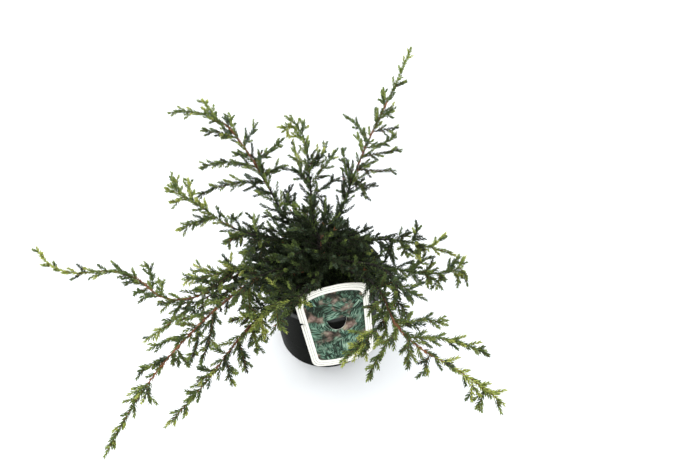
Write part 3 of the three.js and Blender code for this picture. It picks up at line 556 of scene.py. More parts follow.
rim_sides = directed[first_seen[uses == 1]]
under = len(flat)
card_corners = np.vstack([hang(flat[:, 0], flat[:, 1], 0), hang(flat[:, 0], flat[:, 1], LABEL_THICKNESS)])
a, b = rim_sides[:, 0], rim_sides[:, 1]
card_faces = np.vstack([cells, cells[:, ::-1] + under, np.column_stack([b, a, a + under]),
                        np.column_stack([b, a + under, b + under])])

card_stock = grained_material("card_stock", (700, 3), [
    (0.3, (0.80, 0.78, 0.70)), (0.7, (0.88, 0.86, 0.79))], (0.35, 0.5), 0.00004)

# The print: tufts of blue-green sprays, each with its own lie, over brown and pinkish gravel.
print_ink, tree = new_material("printed_sprays")
printed_place = add_node(tree, "UVMap", {}, "UV", uv_map="print")


def printed_blades(tuft_scale, blade_stretch, offset):
    """Streaks from 0 to 1 that run one way in each tuft and darken towards its edge."""
    tufts = add_node(tree, "TexVoronoi", {"Vector": printed_place, "Scale": tuft_scale}, "Color")
    lie = {"Vector": printed_place, "Angle": range_node(tree, tufts, offset, offset + 5)}
    turned_place = add_node(tree, "VectorRotate", lie, rotation_type="Z_AXIS")
    stretched = add_node(tree, "Mapping", {"Vector": turned_place, "Scale": blade_stretch})
    streaks = {"Vector": stretched, "Scale": 1, "Detail": 4, "Distortion": 1.1}
    blades = add_node(tree, "TexNoise", streaks, "Fac")
    darker = range_node(tree, tufts.node.outputs["Distance"], 0.06, -0.14)
    return add_node(tree, "Math", {0: blades, 1: darker})


def patches(scale, low, high, shift):
    """Patches from 0 to 1 with soft torn edges."""
    moved = add_node(tree, "Mapping", {"Vector": printed_place, "Location": (shift, shift, 0)})
    cover = add_node(tree, "TexNoise", {"Vector": moved, "Scale": scale, "Detail": 6}, "Fac")
    return range_node(tree, cover, 0, 1, low, high)


ground_colour = ramp_node(tree, patches(9, 0.3, 0.7, 9), [
    (0.20, (0.016, 0.014, 0.010)), (0.42, (0.085, 0.064, 0.045)), (0.60, (0.19, 0.125, 0.105)),
    (0.85, (0.34, 0.29, 0.21))])
shade_colour = ramp_node(tree, printed_blades(4.5, (8, 40, 1), 1.5), [
    (0.42, (0.006, 0.010, 0.005)), (0.49, (0.028, 0.055, 0.032)), (0.56, (0.080, 0.15, 0.10)),
    (0.68, (0.22, 0.32, 0.23))])
light_colour = ramp_node(tree, printed_blades(5.5, (7, 44, 1), 0.2), [
    (0.38, (0.008, 0.013, 0.008)), (0.45, (0.038, 0.078, 0.052)), (0.52, (0.11, 0.22, 0.155)),
    (0.66, (0.38, 0.50, 0.38))])
spray_colour = mix_node(tree, patches(4, 0.40, 0.54, 4), shade_colour, light_colour)
set_shader(tree, mix_node(tree, patches(3.4, 0.42, 0.49, 2), ground_colour, spray_colour), 0.35, specular=0.1)
frame_ink = grained_material("printed_frame_lines", (400, 2), [
    (0.35, (0.22, 0.22, 0.19)), (0.65, (0.42, 0.41, 0.36))], 0.4)

card = add_piece("picture_card", card_corners, card_faces, card_stock, ["label"], smooth=False)
card.data.materials.append(print_ink)
card.data.materials.append(frame_ink)
printed = np.zeros(len(card_faces), dtype=np.int32)
centres = flat[cells].mean(axis=1)
printed[:len(cells)] = inside(centres, picture_edge)
for outer, inner in line_edges:
    printed[:len(cells)][inside(centres, outer) & ~inside(centres, inner)] = 2
card.data.polygons.foreach_set("material_index", printed)
uv = card.data.uv_layers.new(name="print")
flat_twice = np.vstack([flat, flat]) / LABEL_TOP_WIDTH + 1
uv.data.foreach_set("uv", flat_twice[card_faces.ravel()].ravel())

# The tongue: one strip of the same card, folded back over the lip and down inside the wall.
tongue_reach = wall_radius(POT_HEIGHT - TONGUE_DROP) - POT_WALL
tongue_back = math.sqrt(tongue_reach ** 2 - (TONGUE_WIDTH / 2) ** 2) - TONGUE_CLEARANCE
over = POT_HEIGHT + SEAT_GAP
tongue_path = [(POT_RIM_RADIUS + TONGUE_CLEARANCE, over - 0.2), (POT_RIM_RADIUS + SEAT_GAP, over + 0.1),
               (tongue_back + 0.1, over + 0.1), (tongue_back, POT_HEIGHT - TONGUE_DROP)]
fold = np.array(rounded(tongue_path, TONGUE_BEND_RADIUS))
run = unit(np.gradient(fold, axis=0))
proud = fold + np.column_stack([run[:, 1], -run[:, 0]]) * -LABEL_THICKNESS * 0.9
travelled = walked(fold)
half_widths = TONGUE_WIDTH / 2 * np.sqrt(np.clip(1 - (travelled / travelled[-1] * 0.93) ** 6, 0, 1))
out, aside = direction(LABEL_HEADING, 0), direction(LABEL_HEADING + 90, 0)
tongue_corners = []
for (r, z), (r2, z2), half in zip(fold, proud, half_widths):
    for reach, height, side in ((r, z, -half), (r, z, half), (r2, z2, half), (r2, z2, -half)):
        tongue_corners.append(out * reach + aside * side + UP * height)
last = 4 * (len(fold) - 1)
tongue_faces = [(k + i, k + (i + 1) % 4, k + 4 + (i + 1) % 4, k + 4 + i)
                for k in range(0, last, 4) for i in range(4)]
tongue_faces += [(3, 2, 1, 0), (last, last + 1, last + 2, last + 3)]
add_piece("card_tongue", tongue_corners, tongue_faces, card_stock, ["label"], smooth=False)


# ---- Limbs ----
# Sixteen shoots leave the trunk just over the compost and arch outwards. Each is one limb: a bare
# bough in the crown that goes on, ever thinner, as the stem of its own foliage.

GOLDEN_ANGLE = 137.5
BOUGH_LENGTH = 22
BOUGH_LENGTH_SHARE = 0.08
BOUGH_ROOT_RADIUS = 2.1
BOUGH_TIP_RADIUS = 1.35
STEM_ROOT_RADIUS = 1.3
WHORL_STEP = 10.5
WHORL_RADIUS = 3.7
LEAFY_END = 62
FINE_STEPS = 4

# Each shoot: its name, the height of its foot on the trunk, its length, the controls of its heading
# and of its rise in degrees, and its listed twigs. A twig holds its place as a share of the shoot,
# its turn, its curl, its rise and its length.
SHOOTS = [
    ("back_right", 117, 250, (62, 62, 56, 62), (45, 37, 31, 34), [
        (0.32, 40, -10, 15, 52), (0.33, -75, 10, 0, 30), (0.4, -75, 15, 0, 42), (0.46, -60, 0, 10, 44),
        (0.5, -60, 60, 5, 42), (0.52, 35, 40, 0, 60), (0.58, -60, 0, 10, 28), (0.62, 40, -15, 15, 22),
        (0.65, -40, 0, 25, 20), (0.7, 40, -15, 15, 28), (0.36, -110, -40, -5, 34)]),
    ("back", 127, 157, (112, 94, 96, 144), (46, 50, 41, 6), [
        (0.34, -30, -50, 12, 43), (0.46, -50, 10, 20, 50), (0.41, 29, -27, 30, 61),
        (0.54, -50, 30, 15, 42), (0.75, 45, -10, 18, 16), (0.86, 56, 18, 12, 21), (0.81, -45, 17, 14, 19),
        (0.93, 106, 34, -11, 22)]),
    ("back_left", 118, 248, (142, 122, 128, 198), (27, 36, 23, 0), [
        (0.4, 42, 66, 3, 80), (0.43, -65, -45, 0, 34), (0.48, 30, 70, 10, 66), (0.51, -80, 15, 0, 50),
        (0.6, -60, 0, 10, 36), (0.64, 30, 50, 20, 42), (0.7, -50, 25, 5, 28), (0.78, -35, 5, 5, 38)]),
    ("left_upper", 126, 176, (172, 189, 147, 169), (41, 19, 22, 27), [
        (0.4, -75, -15, 5, 30), (0.5, 65, 10, 5, 24), (0.56, -70, -10, 5, 16), (0.68, 65, -10, 0, 40),
        (0.74, -70, 35, -10, 24), (0.83, -55, 0, 10, 32), (0.9, -50, 0, 10, 22), (0.88, 62, -3, 8, 16),
        (0.93, -61, 17, 9, 24), (0.45, 52, -7, 15, 29), (0.36, 56, 12, 10, 43), (0.33, 69, 2, 6, 40)]),
    ("left_middle", 121, 138, (208, 202, 208, 154), (37, 16, 4, 22), [
        (0.69, -74, -4, 6, 25), (0.8, 37, -37, 14, 40), (0.7, 39, -6, 17, 47)]),
    ("far_left", 112, 328, (180, 216, 206, 133, 201, 116), (36, 8, -14, 10, 9, 22), [
        (0.55, 45, 0, 15, 18), (0.58, -50, 35, 5, 40), (0.61, 30, 45, 25, 24), (0.47, 70, -6, -6, 24),
        (0.44, 53, 26, 2, 27)]),
    ("left_lower", 102, 204, (198, 204, 213, 208), (36, 8, -13, -22), [
        (0.6, -67, 14, -1, 20), (0.5, 53, -20, 3, 32)]),
    ("front_left_long", 110, 308, (214, 231, 232, 247), (45, 11, -11, -19), [
        (0.49, 42, -15, 5, 62), (0.52, -70, 50, 5, 26), (0.56, 50, -25, 5, 42), (0.59, -45, 20, -10, 40),
        (0.65, 70, 10, 0, 24), (0.68, -30, 0, -10, 30), (0.77, -20, -30, -20, 22), (0.78, 50, 0, -5, 18),
        (0.29, 21, -3, 25, 55), (0.34, 56, -25, 8, 45)]),
    ("front_left", 101, 244, (244, 230, 235, 218), (41, 9, -15, -23), [
        (0.51, 65, -25, 0, 34), (0.58, 52, 0, 0, 38), (0.65, -70, -15, 0, 16), (0.66, 50, 0, -5, 32),
        (0.73, -60, -10, -5, 16), (0.39, -48, -22, -6, 25), (0.45, 45, -27, 4, 24)]),
    ("front_left_short", 117, 148, (258, 258, 205, 188), (44, 12, 0, 4), [
        (0.7, 70, 10, 0, 26), (0.8, 72, 15, 0, 32), (0.52, -89, 68, 9, 36)]),
    ("front_right_long", 107, 275, (-50, -56, -81, -31, -43), (44, 28, 6, -8, -14), [
        (0.59, 95, -75, 8, 46), (0.59, -65, 16, -3, 61), (0.64, 63, -46, -6, 74), (0.64, -40, 0, -5, 30),
        (0.73, -80, 15, 5, 24), (0.78, 55, 0, -5, 14), (0.88, -59, -2, -4, 20), (0.9, -30, 50, 10, 16),
        (0.93, -75, -12, -4, 20), (0.95, 50, 0, 5, 12), (0.97, -40, 0, -3, 14)]),
    ("right", 113, 150, (-18, -31, -20, 7), (34, 14, 3, 24), [
        (0.84, -85, -25, 5, 24), (0.88, 46, 11, 1, 26), (0.93, -69, -13, 5, 18), (0.74, -46, -35, 17, 22),
        (0.64, 77, -38, 3, 30), (0.96, 45, 14, 4, 18), (0.98, -65, -30, 10, 18)]),
    ("right_upper", 120, 146, (18, -12, -26, -41), (35, 18, 6, 10), [
        (0.66, 84, 38, 3, 31), (0.8, 70, 10, 8, 24), (0.57, -52, -8, 7, 28), (0.68, -45, -37, 20, 33),
        (0.51, -84, -4, 7, 33)]),
    ("right_lower", 101, 117, (-26, -37, -21, -28), (39, 11, -5, -12), [
        (0.7, 69, -5, 1, 24), (0.81, 67, -24, -2, 23), (0.7, -49, -14, 2, 19), (0.81, -44, -16, 3, 18)]),
    ("front_right_curl", 122, 205, (-52, -28, -123, -159), (43, 13, -13, -28), [
        (0.68, -59, 51, -1, 17), (0.73, 56, -50, 2, 25), (0.79, -47, 43, -11, 19), (0.84, 56, -46, -2, 21),
        (0.61, 58, -33, -2, 25)]),
    ("right_back_short", 128, 62, (38, -30, 4), (44, 35, 33), []),
]
LEAFY_ENDS = {"far_left": 110}


def blend(controls, t):
    """The value at share t of evenly spaced controls."""
    place = min(max(t, 0), 1) * (len(controls) - 1)
    low = min(int(place), len(controls) - 2)
    return controls[low] + (controls[low + 1] - controls[low]) * (place - low)


class Line:
    """A stem's middle line: straight steps of about one whorl; aim(t) is its direction at share t."""

    def __init__(self, root, aim, length):
        count = max(1, math.floor(length / WHORL_STEP + 0.5))
        self.length, self.step = length, length / count
        points = [np.array(root, float)]
        for i in range(count):
            point = points[-1].copy()
            for j in range(FINE_STEPS):
                point = point + aim((i + (j + 0.5) / FINE_STEPS) / count) * (self.step / FINE_STEPS)
            points.append(point)
        self.points = np.array(points)

    def at(self, places):
        """Points at distances along the line."""
        last = len(self.points) - 1
        place = np.clip(np.asarray(places, float) / self.step, 0, last)
        low = np.minimum(np.floor(place).astype(int), last - 1)
        share = (place - low)[..., None]
        return self.points[low] + (self.points[low + 1] - self.points[low]) * share

    def along(self, place):
        """The direction at a distance along the line."""
        ahead = self.at(place + self.step / 2) - self.at(place - self.step / 2)
        return ahead / np.linalg.norm(ahead)

    def corner(self, place):
        """The distance of the corner nearest to a place on the line."""
        return self.step * math.floor(place / self.step + 0.5)

    def smooth(self, places):
        """Points and directions at distances along a smooth curve through the line's corners."""
        last = len(self.points) - 1
        place = np.clip(np.asarray(places, float) / self.step, 0, last - 1e-9)
        low = np.floor(place).astype(int)
        t = (place - low)[:, None]
        before, after = 2 * self.points[0] - self.points[1], 2 * self.points[-1] - self.points[-2]
        p = np.vstack([before, self.points, after])
        a, b, c, d = p[low], p[low + 1], p[low + 2], p[low + 3]
        second, third = 2 * a - 5 * b + 4 * c - d, 3 * b - a - 3 * c + d
        points = 0.5 * (2 * b + (c - a) * t + second * t ** 2 + third * t ** 3)
        ways = 0.5 * ((c - a) + 2 * second * t + 3 * third * t ** 2)
        return points, unit(ways)


def limb_root(z, heading, rise, radius):
    """Where a limb of this radius starts, just clear of the trunk."""
    reach = trunk_radius(z - TRUNK_FOOT_Z) + SEAT_GAP + radius * math.sin(math.radians(rise))
    return trunk_middle(z) + direction(heading, 0) * reach


shoots = []
for name, foot, length, headings, rises, twigs in SHOOTS:
    root = limb_root(foot, headings[0], rises[0], BOUGH_ROOT_RADIUS)
    line = Line(root, lambda t: direction(blend(headings, t), blend(rises, t)), length)
    bough_end = line.corner(BOUGH_LENGTH + BOUGH_LENGTH_SHARE * length)
    leafy_from = line.corner(max(bough_end + line.step, length - LEAFY_ENDS.get(name, LEAFY_END)))
    shoots.append({"name": name, "foot": foot, "line": line, "bough_end": bough_end,
                   "leafy_from": leafy_from, "listed": twigs})

LIMB_PITCH = 1.6
LIMB_TIP_RADIUS = 0.4
LIMB_TAPER = 1.3
LIMB_SIDES = 10
LIMB_RELIEF = 0.13
LIMB_COLLAR = 0.5
LIMB_COLLAR_REACH = 3
LIMB_FOOT_DROP = 1.0
LIMB_FOOT_FLARE = 0.7
LIMB_SEED = 30
# The limbs' bark carries painted shade: near black within 0.11 m of the crown's middle, back to its own
# colour by 0.17 m.
young_bark = bark_material("red_brown_bark", (0.090, 0.029, 0.014), (0.33, 0.125, 0.056), 0.0003,
                           (0.11, 0.17))
for index, shoot in enumerate(shoots):
    line, end = shoot["line"], shoot["bough_end"]
    places = np.arange(0, line.length, LIMB_PITCH)
    points, _ = line.smooth(places)
    points = np.vstack([trunk_middle(shoot["foot"] - LIMB_FOOT_DROP), points])
    bough_radii = BOUGH_ROOT_RADIUS + (BOUGH_TIP_RADIUS - BOUGH_ROOT_RADIUS) * places / end
    left = np.clip((line.length - places) / (line.length - end), 0, 1) ** LIMB_TAPER
    stem_radii = LIMB_TIP_RADIUS + (BOUGH_TIP_RADIUS - LIMB_TIP_RADIUS) * left
    collar = LIMB_COLLAR * np.exp(-places / LIMB_COLLAR_REACH)
    radii = np.where(places < end, bough_radii, stem_radii) + collar
    radii = np.concatenate([[BOUGH_ROOT_RADIUS + LIMB_FOOT_FLARE], radii])
    corners, faces = tube(points, radii, LIMB_SIDES, LIMB_RELIEF, LIMB_SEED + index)
    add_piece(f"limb_{shoot['name']}", corners, faces, young_bark, [f"bough_{shoot['name']}"])


# ---- Twigs ----
# Side twigs leave every stem a centimetre or two apart, each further round it by the golden angle,
# and bend forward. Tufts of them start on the trunk itself and close the middle of the crown.

TWIG_RADIUS = 0.85
NECK_LENGTH = 4
SHORTEST_TWIG = 6
FORKING_TWIG = 28
LIFT_SHARE = 0.7
TWIG_OPENING = 62
TWIG_TIP_OPENING = 34
ROLL_SPREAD = 30
TAPER_POWER = 0.8
SHOOT_TWIGS = {"from_root": 8, "from_tip": 16, "spacing": 18, "longest": 27}
SIDE_TWIGS = {"from_root": 9, "from_tip": 6, "spacing": 24, "longest": 8}
TUFT_TWIGS = {"from_root": 14, "from_tip": 10, "spacing": 9, "longest": 20}
SHOOT_SEED = 100
TUFT_SEED = 200
BEAD_LIMIT = 60000
BEAD_STEP = 2
BEAD_REACH = 9
CLEAR_GAP = 0.7
SISTER_SPACING = 5
SISTER_FREE_LENGTH = 9
LABEL_BEAD_PITCH = 5

# Rings of tufts: count, heights of the first and last foot, heading and step, rise at foot and tip, length.
TUFT_RINGS = [
    (4, 104, 122, 25, 42, 32, 12, 84),
    (7, 122, 131, 0, 51.4, 28, 12, 74),
    (7, 133, 142, 26, 51.4, 38, 16, 66),
    (5, 144, 150, 0, 72, 60, 40, 46),
]
GAP_HEADING = 40
GAP_SHORTENING = 0.5
TUFT_BARE = 14
TUFT_TRIES = 13
TUFT_SHIFT = 8


def seeded(seed):
    """A repeatable stream of numbers from 0 to 1."""
    state = seed
    while True:
        state = (state * 1664525 + 1013904223) % 4294967296
        yield state / 4294967296


class Room:
    """The room taken in the crown, as beads along the middle lines of all that is placed."""

    def __init__(self):
        self.middles = np.zeros((BEAD_LIMIT, 3))
        self.radii = np.zeros(BEAD_LIMIT)
        self.owners = np.zeros(BEAD_LIMIT, dtype=int)
        self.count = 0
        self.names = {}

    def owner(self, name):
        return self.names.setdefault(name, len(self.names) + 1)

    def add(self, middles, radius, name):
        end = self.count + len(middles)
        self.middles[self.count:end] = middles
        self.radii[self.count:end] = radius
        self.owners[self.count:end] = self.owner(name)
        self.count = end

    def fill(self, line, start, end, radius, name):
        if end >= start:
            count = int((end - start) / BEAD_STEP + 1e-9) + 1
            self.add(line.at(start + BEAD_STEP * np.arange(count)), radius, name)

    def crowded(self, line, name, neck, sister_spacing=SISTER_SPACING):
        """Whether a twig, leafy from its neck on, would touch another mass, a limb, pot or card."""
        places = BEAD_STEP * np.arange(int(line.length / BEAD_STEP + 1e-9) + 1)
        middles = line.at(places)
        radii = np.where(places < neck, TWIG_RADIUS, WHORL_RADIUS)
        near_pot = np.hypot(middles[:, 0], middles[:, 1]) < POT_RIM_RADIUS + radii + CLEAR_GAP
        if (near_pot & (middles[:, 2] < POT_HEIGHT + radii + CLEAR_GAP)).any():
            return True
        beads, sizes, owners = self.middles[:self.count], self.radii[:self.count], self.owners[:self.count]
        low, high = middles.min(axis=0) - BEAD_REACH, middles.max(axis=0) + BEAD_REACH
        close = ((beads > low) & (beads < high)).all(axis=1)
        beads, sizes, owners = beads[close], sizes[close], owners[close]
        sister = (owners == self.owner(name))[None, :]
        need = np.where(sister, sister_spacing, radii[:, None] + sizes[None, :] + CLEAR_GAP)
        gaps = ((middles[:, None] - beads[None]) ** 2).sum(axis=2)
        free = sister & (places < SISTER_FREE_LENGTH)[:, None]
        return bool(((gaps < need ** 2) & ~free).any())


def leaving(along, roll, opening):
    """The direction that leaves a stem at an opening angle, on the side of it given by roll."""
    side = np.cross(UP, along)
    side /= np.linalg.norm(side)
    lift = np.cross(along, side)
    roll, opening = math.radians(roll), math.radians(opening)
    outward = side * math.cos(roll) + lift * math.sin(roll) * LIFT_SHARE
    outward /= np.linalg.norm(outward)
    return outward * math.sin(opening) + along * math.cos(opening)


def bending(along, roll, first, last):
    """The direction, by share of its length, of a twig that bends from one opening angle to another."""
    start, end = leaving(along, roll, first), leaving(along, roll, last)

    def aim(t):
        way = start + (end - start) * t
        return way / np.linalg.norm(way)

    return aim


def add_twig(mass, stem, place, aim, length, sister_spacing=SISTER_SPACING):
    """A twig of a mass of foliage, left out where there is no room for it."""
    line = Line(stem.at(place), aim, length)
    if room.crowded(line, mass["name"], NECK_LENGTH, sister_spacing):
        return
    mass["twigs"].append(line)
    room.fill(line, NECK_LENGTH, line.length, WHORL_RADIUS, mass["name"])


def grow_twigs(mass, line, start, kind, chance):
    """Side twigs by rule, shorter towards the stem's tip."""
    place = start + kind["from_root"]
    roll = 360 * next(chance)
    while place < line.length - kind["from_tip"]:
        left = (line.length - place) / line.length
        length = (kind["longest"] * left ** TAPER_POWER + SHORTEST_TWIG) * (0.8 + 0.4 * next(chance))
        roll += GOLDEN_ANGLE + ROLL_SPREAD * (next(chance) - 0.5)
        add_twig(mass, line, place, bending(line.along(place), roll, TWIG_OPENING, TWIG_TIP_OPENING), length)
        place += kind["spacing"] * (0.8 + 0.4 * next(chance))


def card_face(across, height):
    """How far out from the pot's middle the card is, across it and up from the rim."""
    return POT_RIM_RADIUS - across ** 2 / (2 * LABEL_BEND_RADIUS) - height * math.sin(LABEL_LEAN)


room = Room()
for shoot in shoots:
    line, name = shoot["line"], shoot["name"]
    shoot["mass"] = {"name": f"foliage_{name}", "line": line, "leafy_from": shoot["leafy_from"], "twigs": []}
    room.fill(line, 0, shoot["bough_end"], BOUGH_ROOT_RADIUS, f"bough_{name}")
    room.fill(line, shoot["bough_end"] + SEAT_GAP, shoot["leafy_from"], STEM_ROOT_RADIUS, f"foliage_{name}")
    room.fill(line, shoot["leafy_from"], line.length, WHORL_RADIUS, f"foliage_{name}")

for v in np.arange(-LABEL_BELOW_RIM, LABEL_ABOVE_RIM + 0.01, LABEL_BEAD_PITCH):
    us = np.arange(-LABEL_TOP_WIDTH / 2, LABEL_TOP_WIDTH / 2 + 0.01, LABEL_BEAD_PITCH)
    reach = card_face(us, v)
    sheet = out[None] * reach[:, None] + aside[None] * us[:, None]
    sheet[:, 2] = POT_HEIGHT + v * math.cos(LABEL_LEAN)
    room.add(sheet, LABEL_BEAD_PITCH / 2, "label")

for shoot in shoots:
    line = shoot["line"]
    for share, turn_by, curl, rise, length in shoot["listed"]:
        way = line.along(share * line.length)
        heading = math.degrees(math.atan2(way[1], way[0])) + turn_by
        add_twig(shoot["mass"], line, share * line.length,
                 lambda t: direction(heading + curl * t, rise), length, 0)

def shortened(length, heading):
    """A length, cut where the crown is open on its back right side."""
    return length * (1 - GAP_SHORTENING * max(0, math.cos(math.radians(heading - GAP_HEADING))) ** 3)


tufts = []
for count, low, high, heading0, step, rise, tip_rise, length in TUFT_RINGS:
    for i in range(count):
        foot = low + (high - low) * i / max(1, count - 1)
        for shift in range(TUFT_TRIES):
            heading = heading0 + step * i + TUFT_SHIFT * math.ceil(shift / 2) * (1 if shift % 2 == 0 else -1)
            root = limb_root(foot, heading, rise, STEM_ROOT_RADIUS)
            line = Line(root, lambda t: direction(heading, blend((rise, tip_rise), t)),
                        shortened(length, heading))
            if room.crowded(line, "none", TUFT_BARE):
                continue
            name = f"foliage_middle_{len(tufts) + 1:02d}"
            leafy_from = line.corner(TUFT_BARE)
            room.fill(line, 0, leafy_from, STEM_ROOT_RADIUS, name)
            room.fill(line, leafy_from, line.length, WHORL_RADIUS, name)
            tufts.append({"name": name, "line": line, "leafy_from": leafy_from, "twigs": []})
            break

for index, shoot in enumerate(shoots):
    chance = seeded(SHOOT_SEED + index)
    mass = shoot["mass"]
    for twig in list(mass["twigs"]):
        if twig.length >= FORKING_TWIG:
            grow_twigs(mass, twig, 0, SIDE_TWIGS, chance)
    grow_twigs(mass, shoot["line"], shoot["bough_end"], SHOOT_TWIGS, chance)
for index, tuft in enumerate(tufts):
    grow_twigs(tuft, tuft["line"], 0, TUFT_TWIGS, seeded(TUFT_SEED + index))
masses = [shoot["mass"] for shoot in shoots] + tufts
foliage_nodes = [mass["name"] for mass in masses]

# Finer twigs, in the same way: short sprays along every stem and twig, between those above. They are
# longest and closest over the pot, where low ones from the trunk's foot also cover the compost.
INNER_RADIUS = 70
INNER_TOP = 130
MIDDLE_REACH = 126
FULL_SIDE = 215
FULL_SIDE_REACH = 24
SPRAYS = {
    "inner": {"spacing": 3.8, "longest": 12, "shortest": 8, "opening": (56, 30)},
    "middle": {"spacing": 5.2, "longest": 14, "shortest": 6, "opening": (52, 27)},
    "outer": {"spacing": 6.8, "longest": 12, "shortest": 5, "opening": (44, 20)},
    "near_twig": {"spacing": 5.2, "longest": 8, "shortest": 5, "opening": (52, 27)},
    "twig": {"spacing": 6.4, "longest": 7.5, "shortest": 4.5, "opening": (44, 20)},
}
SPARE_SHOOT = "right_back_short"
CARD_CLEARANCE = 5
WALL_CLEARANCE = 5
RIM_CLEARANCE = 3
COMPOST_CLEARANCE = 2
LOW_SPRAYS = {"count": 60, "low": 97, "high": 126, "rise": 2, "spread": 22, "length": 60}
RIM_SPRAYS = {"count": 52, "low": 108, "high": 126, "rise": 8, "spread": 14, "length": 90, "drop": 75}
SPRAY_PLAY = (0.7, 1.3)
SPRAY_ROLL_SPREAD = 25
LOW_LENGTH_PLAY = (0.75, 1.1)
LOW_CURL_SPREAD = 30
SPRAY_SEED = 41
RIM_BAND = 4
RIM_FRONT_ANGLE = 125
CARD_HALF_ANGLE = 44


def touches_hard_parts(line):
    """Whether a spray would run into the pot, the card or the compost."""
    middles = line.at(np.arange(0, line.length + 1, BEAD_STEP))[1:]
    from_middle, low = np.hypot(middles[:, 0], middles[:, 1]), middles[:, 2]
    wall = wall_radius(POT_HEIGHT - RIM_BAND)
    in_wall = (from_middle > wall - WALL_CLEARANCE) & (from_middle < POT_RIM_RADIUS + RIM_CLEARANCE) & (
        low < POT_HEIGHT + RIM_CLEARANCE)
    in_compost = (from_middle <= wall) & (low < COMPOST_TOP + COMPOST_CLEARANCE)
    across, back = middles @ aside, middles @ out
    height = (low - POT_HEIGHT) / math.cos(LABEL_LEAN)
    at_card = (np.abs(across) < LABEL_TOP_WIDTH / 2 + CARD_CLEARANCE) & (
        height > -LABEL_BELOW_RIM - RIM_CLEARANCE) & (height < LABEL_ABOVE_RIM + RIM_CLEARANCE)
    near_card = at_card & (np.abs(back - card_face(across, height)) < CARD_CLEARANCE)
    return bool((in_wall | in_compost | near_card).any())


def spray_kind(point, usual):
    """The kind of spray at a point: fuller in the middle of the crown than the usual one."""
    if math.hypot(point[0], point[1]) < INNER_RADIUS and point[2] < INNER_TOP:
        return SPRAYS["inner"]
    fuller = FULL_SIDE_REACH * math.cos(math.atan2(point[1], point[0]) - math.radians(FULL_SIDE))
    if math.dist(point, CROWN_MIDDLE) < MIDDLE_REACH + fuller:
        return SPRAYS["middle" if usual == "outer" else "near_twig"]
    return SPRAYS[usual]


def add_sprays(line, bare, usual, where, fullness=(1, 1)):
    """Short side twigs along a stem but for its bare ends; fullness is for its inner and outer half."""
    place, roll = bare[0], 360 * chance.random()
    while place < line.length - bare[1]:
        kind = spray_kind(line.at(place), usual)
        left = (line.length - place) / line.length
        full = fullness[left < 0.5]
        length = full ** 0.5 * (kind["longest"] * left ** 0.5 + kind["shortest"])
        length = length * chance.uniform(*SPRAY_PLAY)
        roll += GOLDEN_ANGLE + chance.uniform(-SPRAY_ROLL_SPREAD, SPRAY_ROLL_SPREAD)
        spray = Line(line.at(place), bending(line.along(place), roll, *kind["opening"]), length)
        if not touches_hard_parts(spray):
            leafy.append((spray, SPRAY_BARE, "spray", *where))
        place += kind["spacing"] / full * chance.uniform(*SPRAY_PLAY)


# Each leafy line: where its needles start, what it is, the tip of its shoot, and how far from a young
# tip it counts as, over its real distance.
OLD_FOLIAGE = 300
YOUNG_RIM = 40
FORKED_TWIG = 15
NEEDLE_LEAD = 6
SPRAY_BARE = 1.5
TWIG_BARE = 2
LOW_BARE = 10
# How much of each end of a stem, a twig and a low spray stays without side twigs.
STEM_ENDS = (10, 6)
TWIG_ENDS = (5, 5)
LOW_ENDS = (12, 4)
MATURE_SHOOTS = {"right": 55, "right_lower": 70, "right_back_short": 60}
FULLNESS = {
    "front_right_curl": (0.12, 1.35), "front_right_long": (0.7, 1.15), "front_left_short": (0.8, 1.5),
    "front_left": (0.6, 1.15), "left_lower": (0.95, 1.05), "right_lower": (1.2, 0.5), "right": (0.7, 1.2),
    "back_left": (1.2, 1.3), "back": (0.8, 1.0), "back_right": (1.25, 0.85), "far_left": (0.9, 1.05),
    "left_upper": (1.2, 1.1),
}
chance = np.random.default_rng(SPRAY_SEED)
leafy = []
for index, mass in enumerate(masses):
    is_tuft, name, line = index >= len(shoots), mass["name"].removeprefix("foliage_"), mass["line"]
    where = (line.points[-1], OLD_FOLIAGE if is_tuft else MATURE_SHOOTS.get(name, 0))
    fullness = FULLNESS.get(name, (1, 1))
    leafy.append((line, mass["leafy_from"] - NEEDLE_LEAD, "stem" if is_tuft else name, *where))
    usual = "twig" if is_tuft or name == SPARE_SHOOT else "outer"
    add_sprays(line, STEM_ENDS, usual, where, fullness)
    for twig in mass["twigs"]:
        leafy.append((twig, TWIG_BARE, "twig", *where))
        if twig.length > FORKED_TWIG:
            add_sprays(twig, TWIG_ENDS, "twig", where, fullness[1:] * 2)
for ring in (LOW_SPRAYS, RIM_SPRAYS):
    for i in range(ring["count"]):
        foot = chance.uniform(ring["low"], ring["high"])
        heading, rise = GOLDEN_ANGLE * i, ring["rise"] + ring["spread"] * chance.random()
        length = shortened(ring["length"], heading) * chance.uniform(*LOW_LENGTH_PLAY)
        drop = ring.get("drop", rise)
        from_card = abs((heading - LABEL_HEADING + 180) % 360 - 180)
        if ring is RIM_SPRAYS and not CARD_HALF_ANGLE < from_card < RIM_FRONT_ANGLE:
            continue
        curl = chance.uniform(-LOW_CURL_SPREAD, LOW_CURL_SPREAD)
        low_spray = Line(trunk_middle(foot),
                         lambda t: direction(heading + curl * t, rise - drop * t ** 3), length)
        if touches_hard_parts(low_spray):
            continue
        where = (low_spray.points[-1], YOUNG_RIM if ring is RIM_SPRAYS else OLD_FOLIAGE)
        leafy.append((low_spray, LOW_BARE, "stem", *where))
        add_sprays(low_spray, LOW_ENDS, "twig", where)

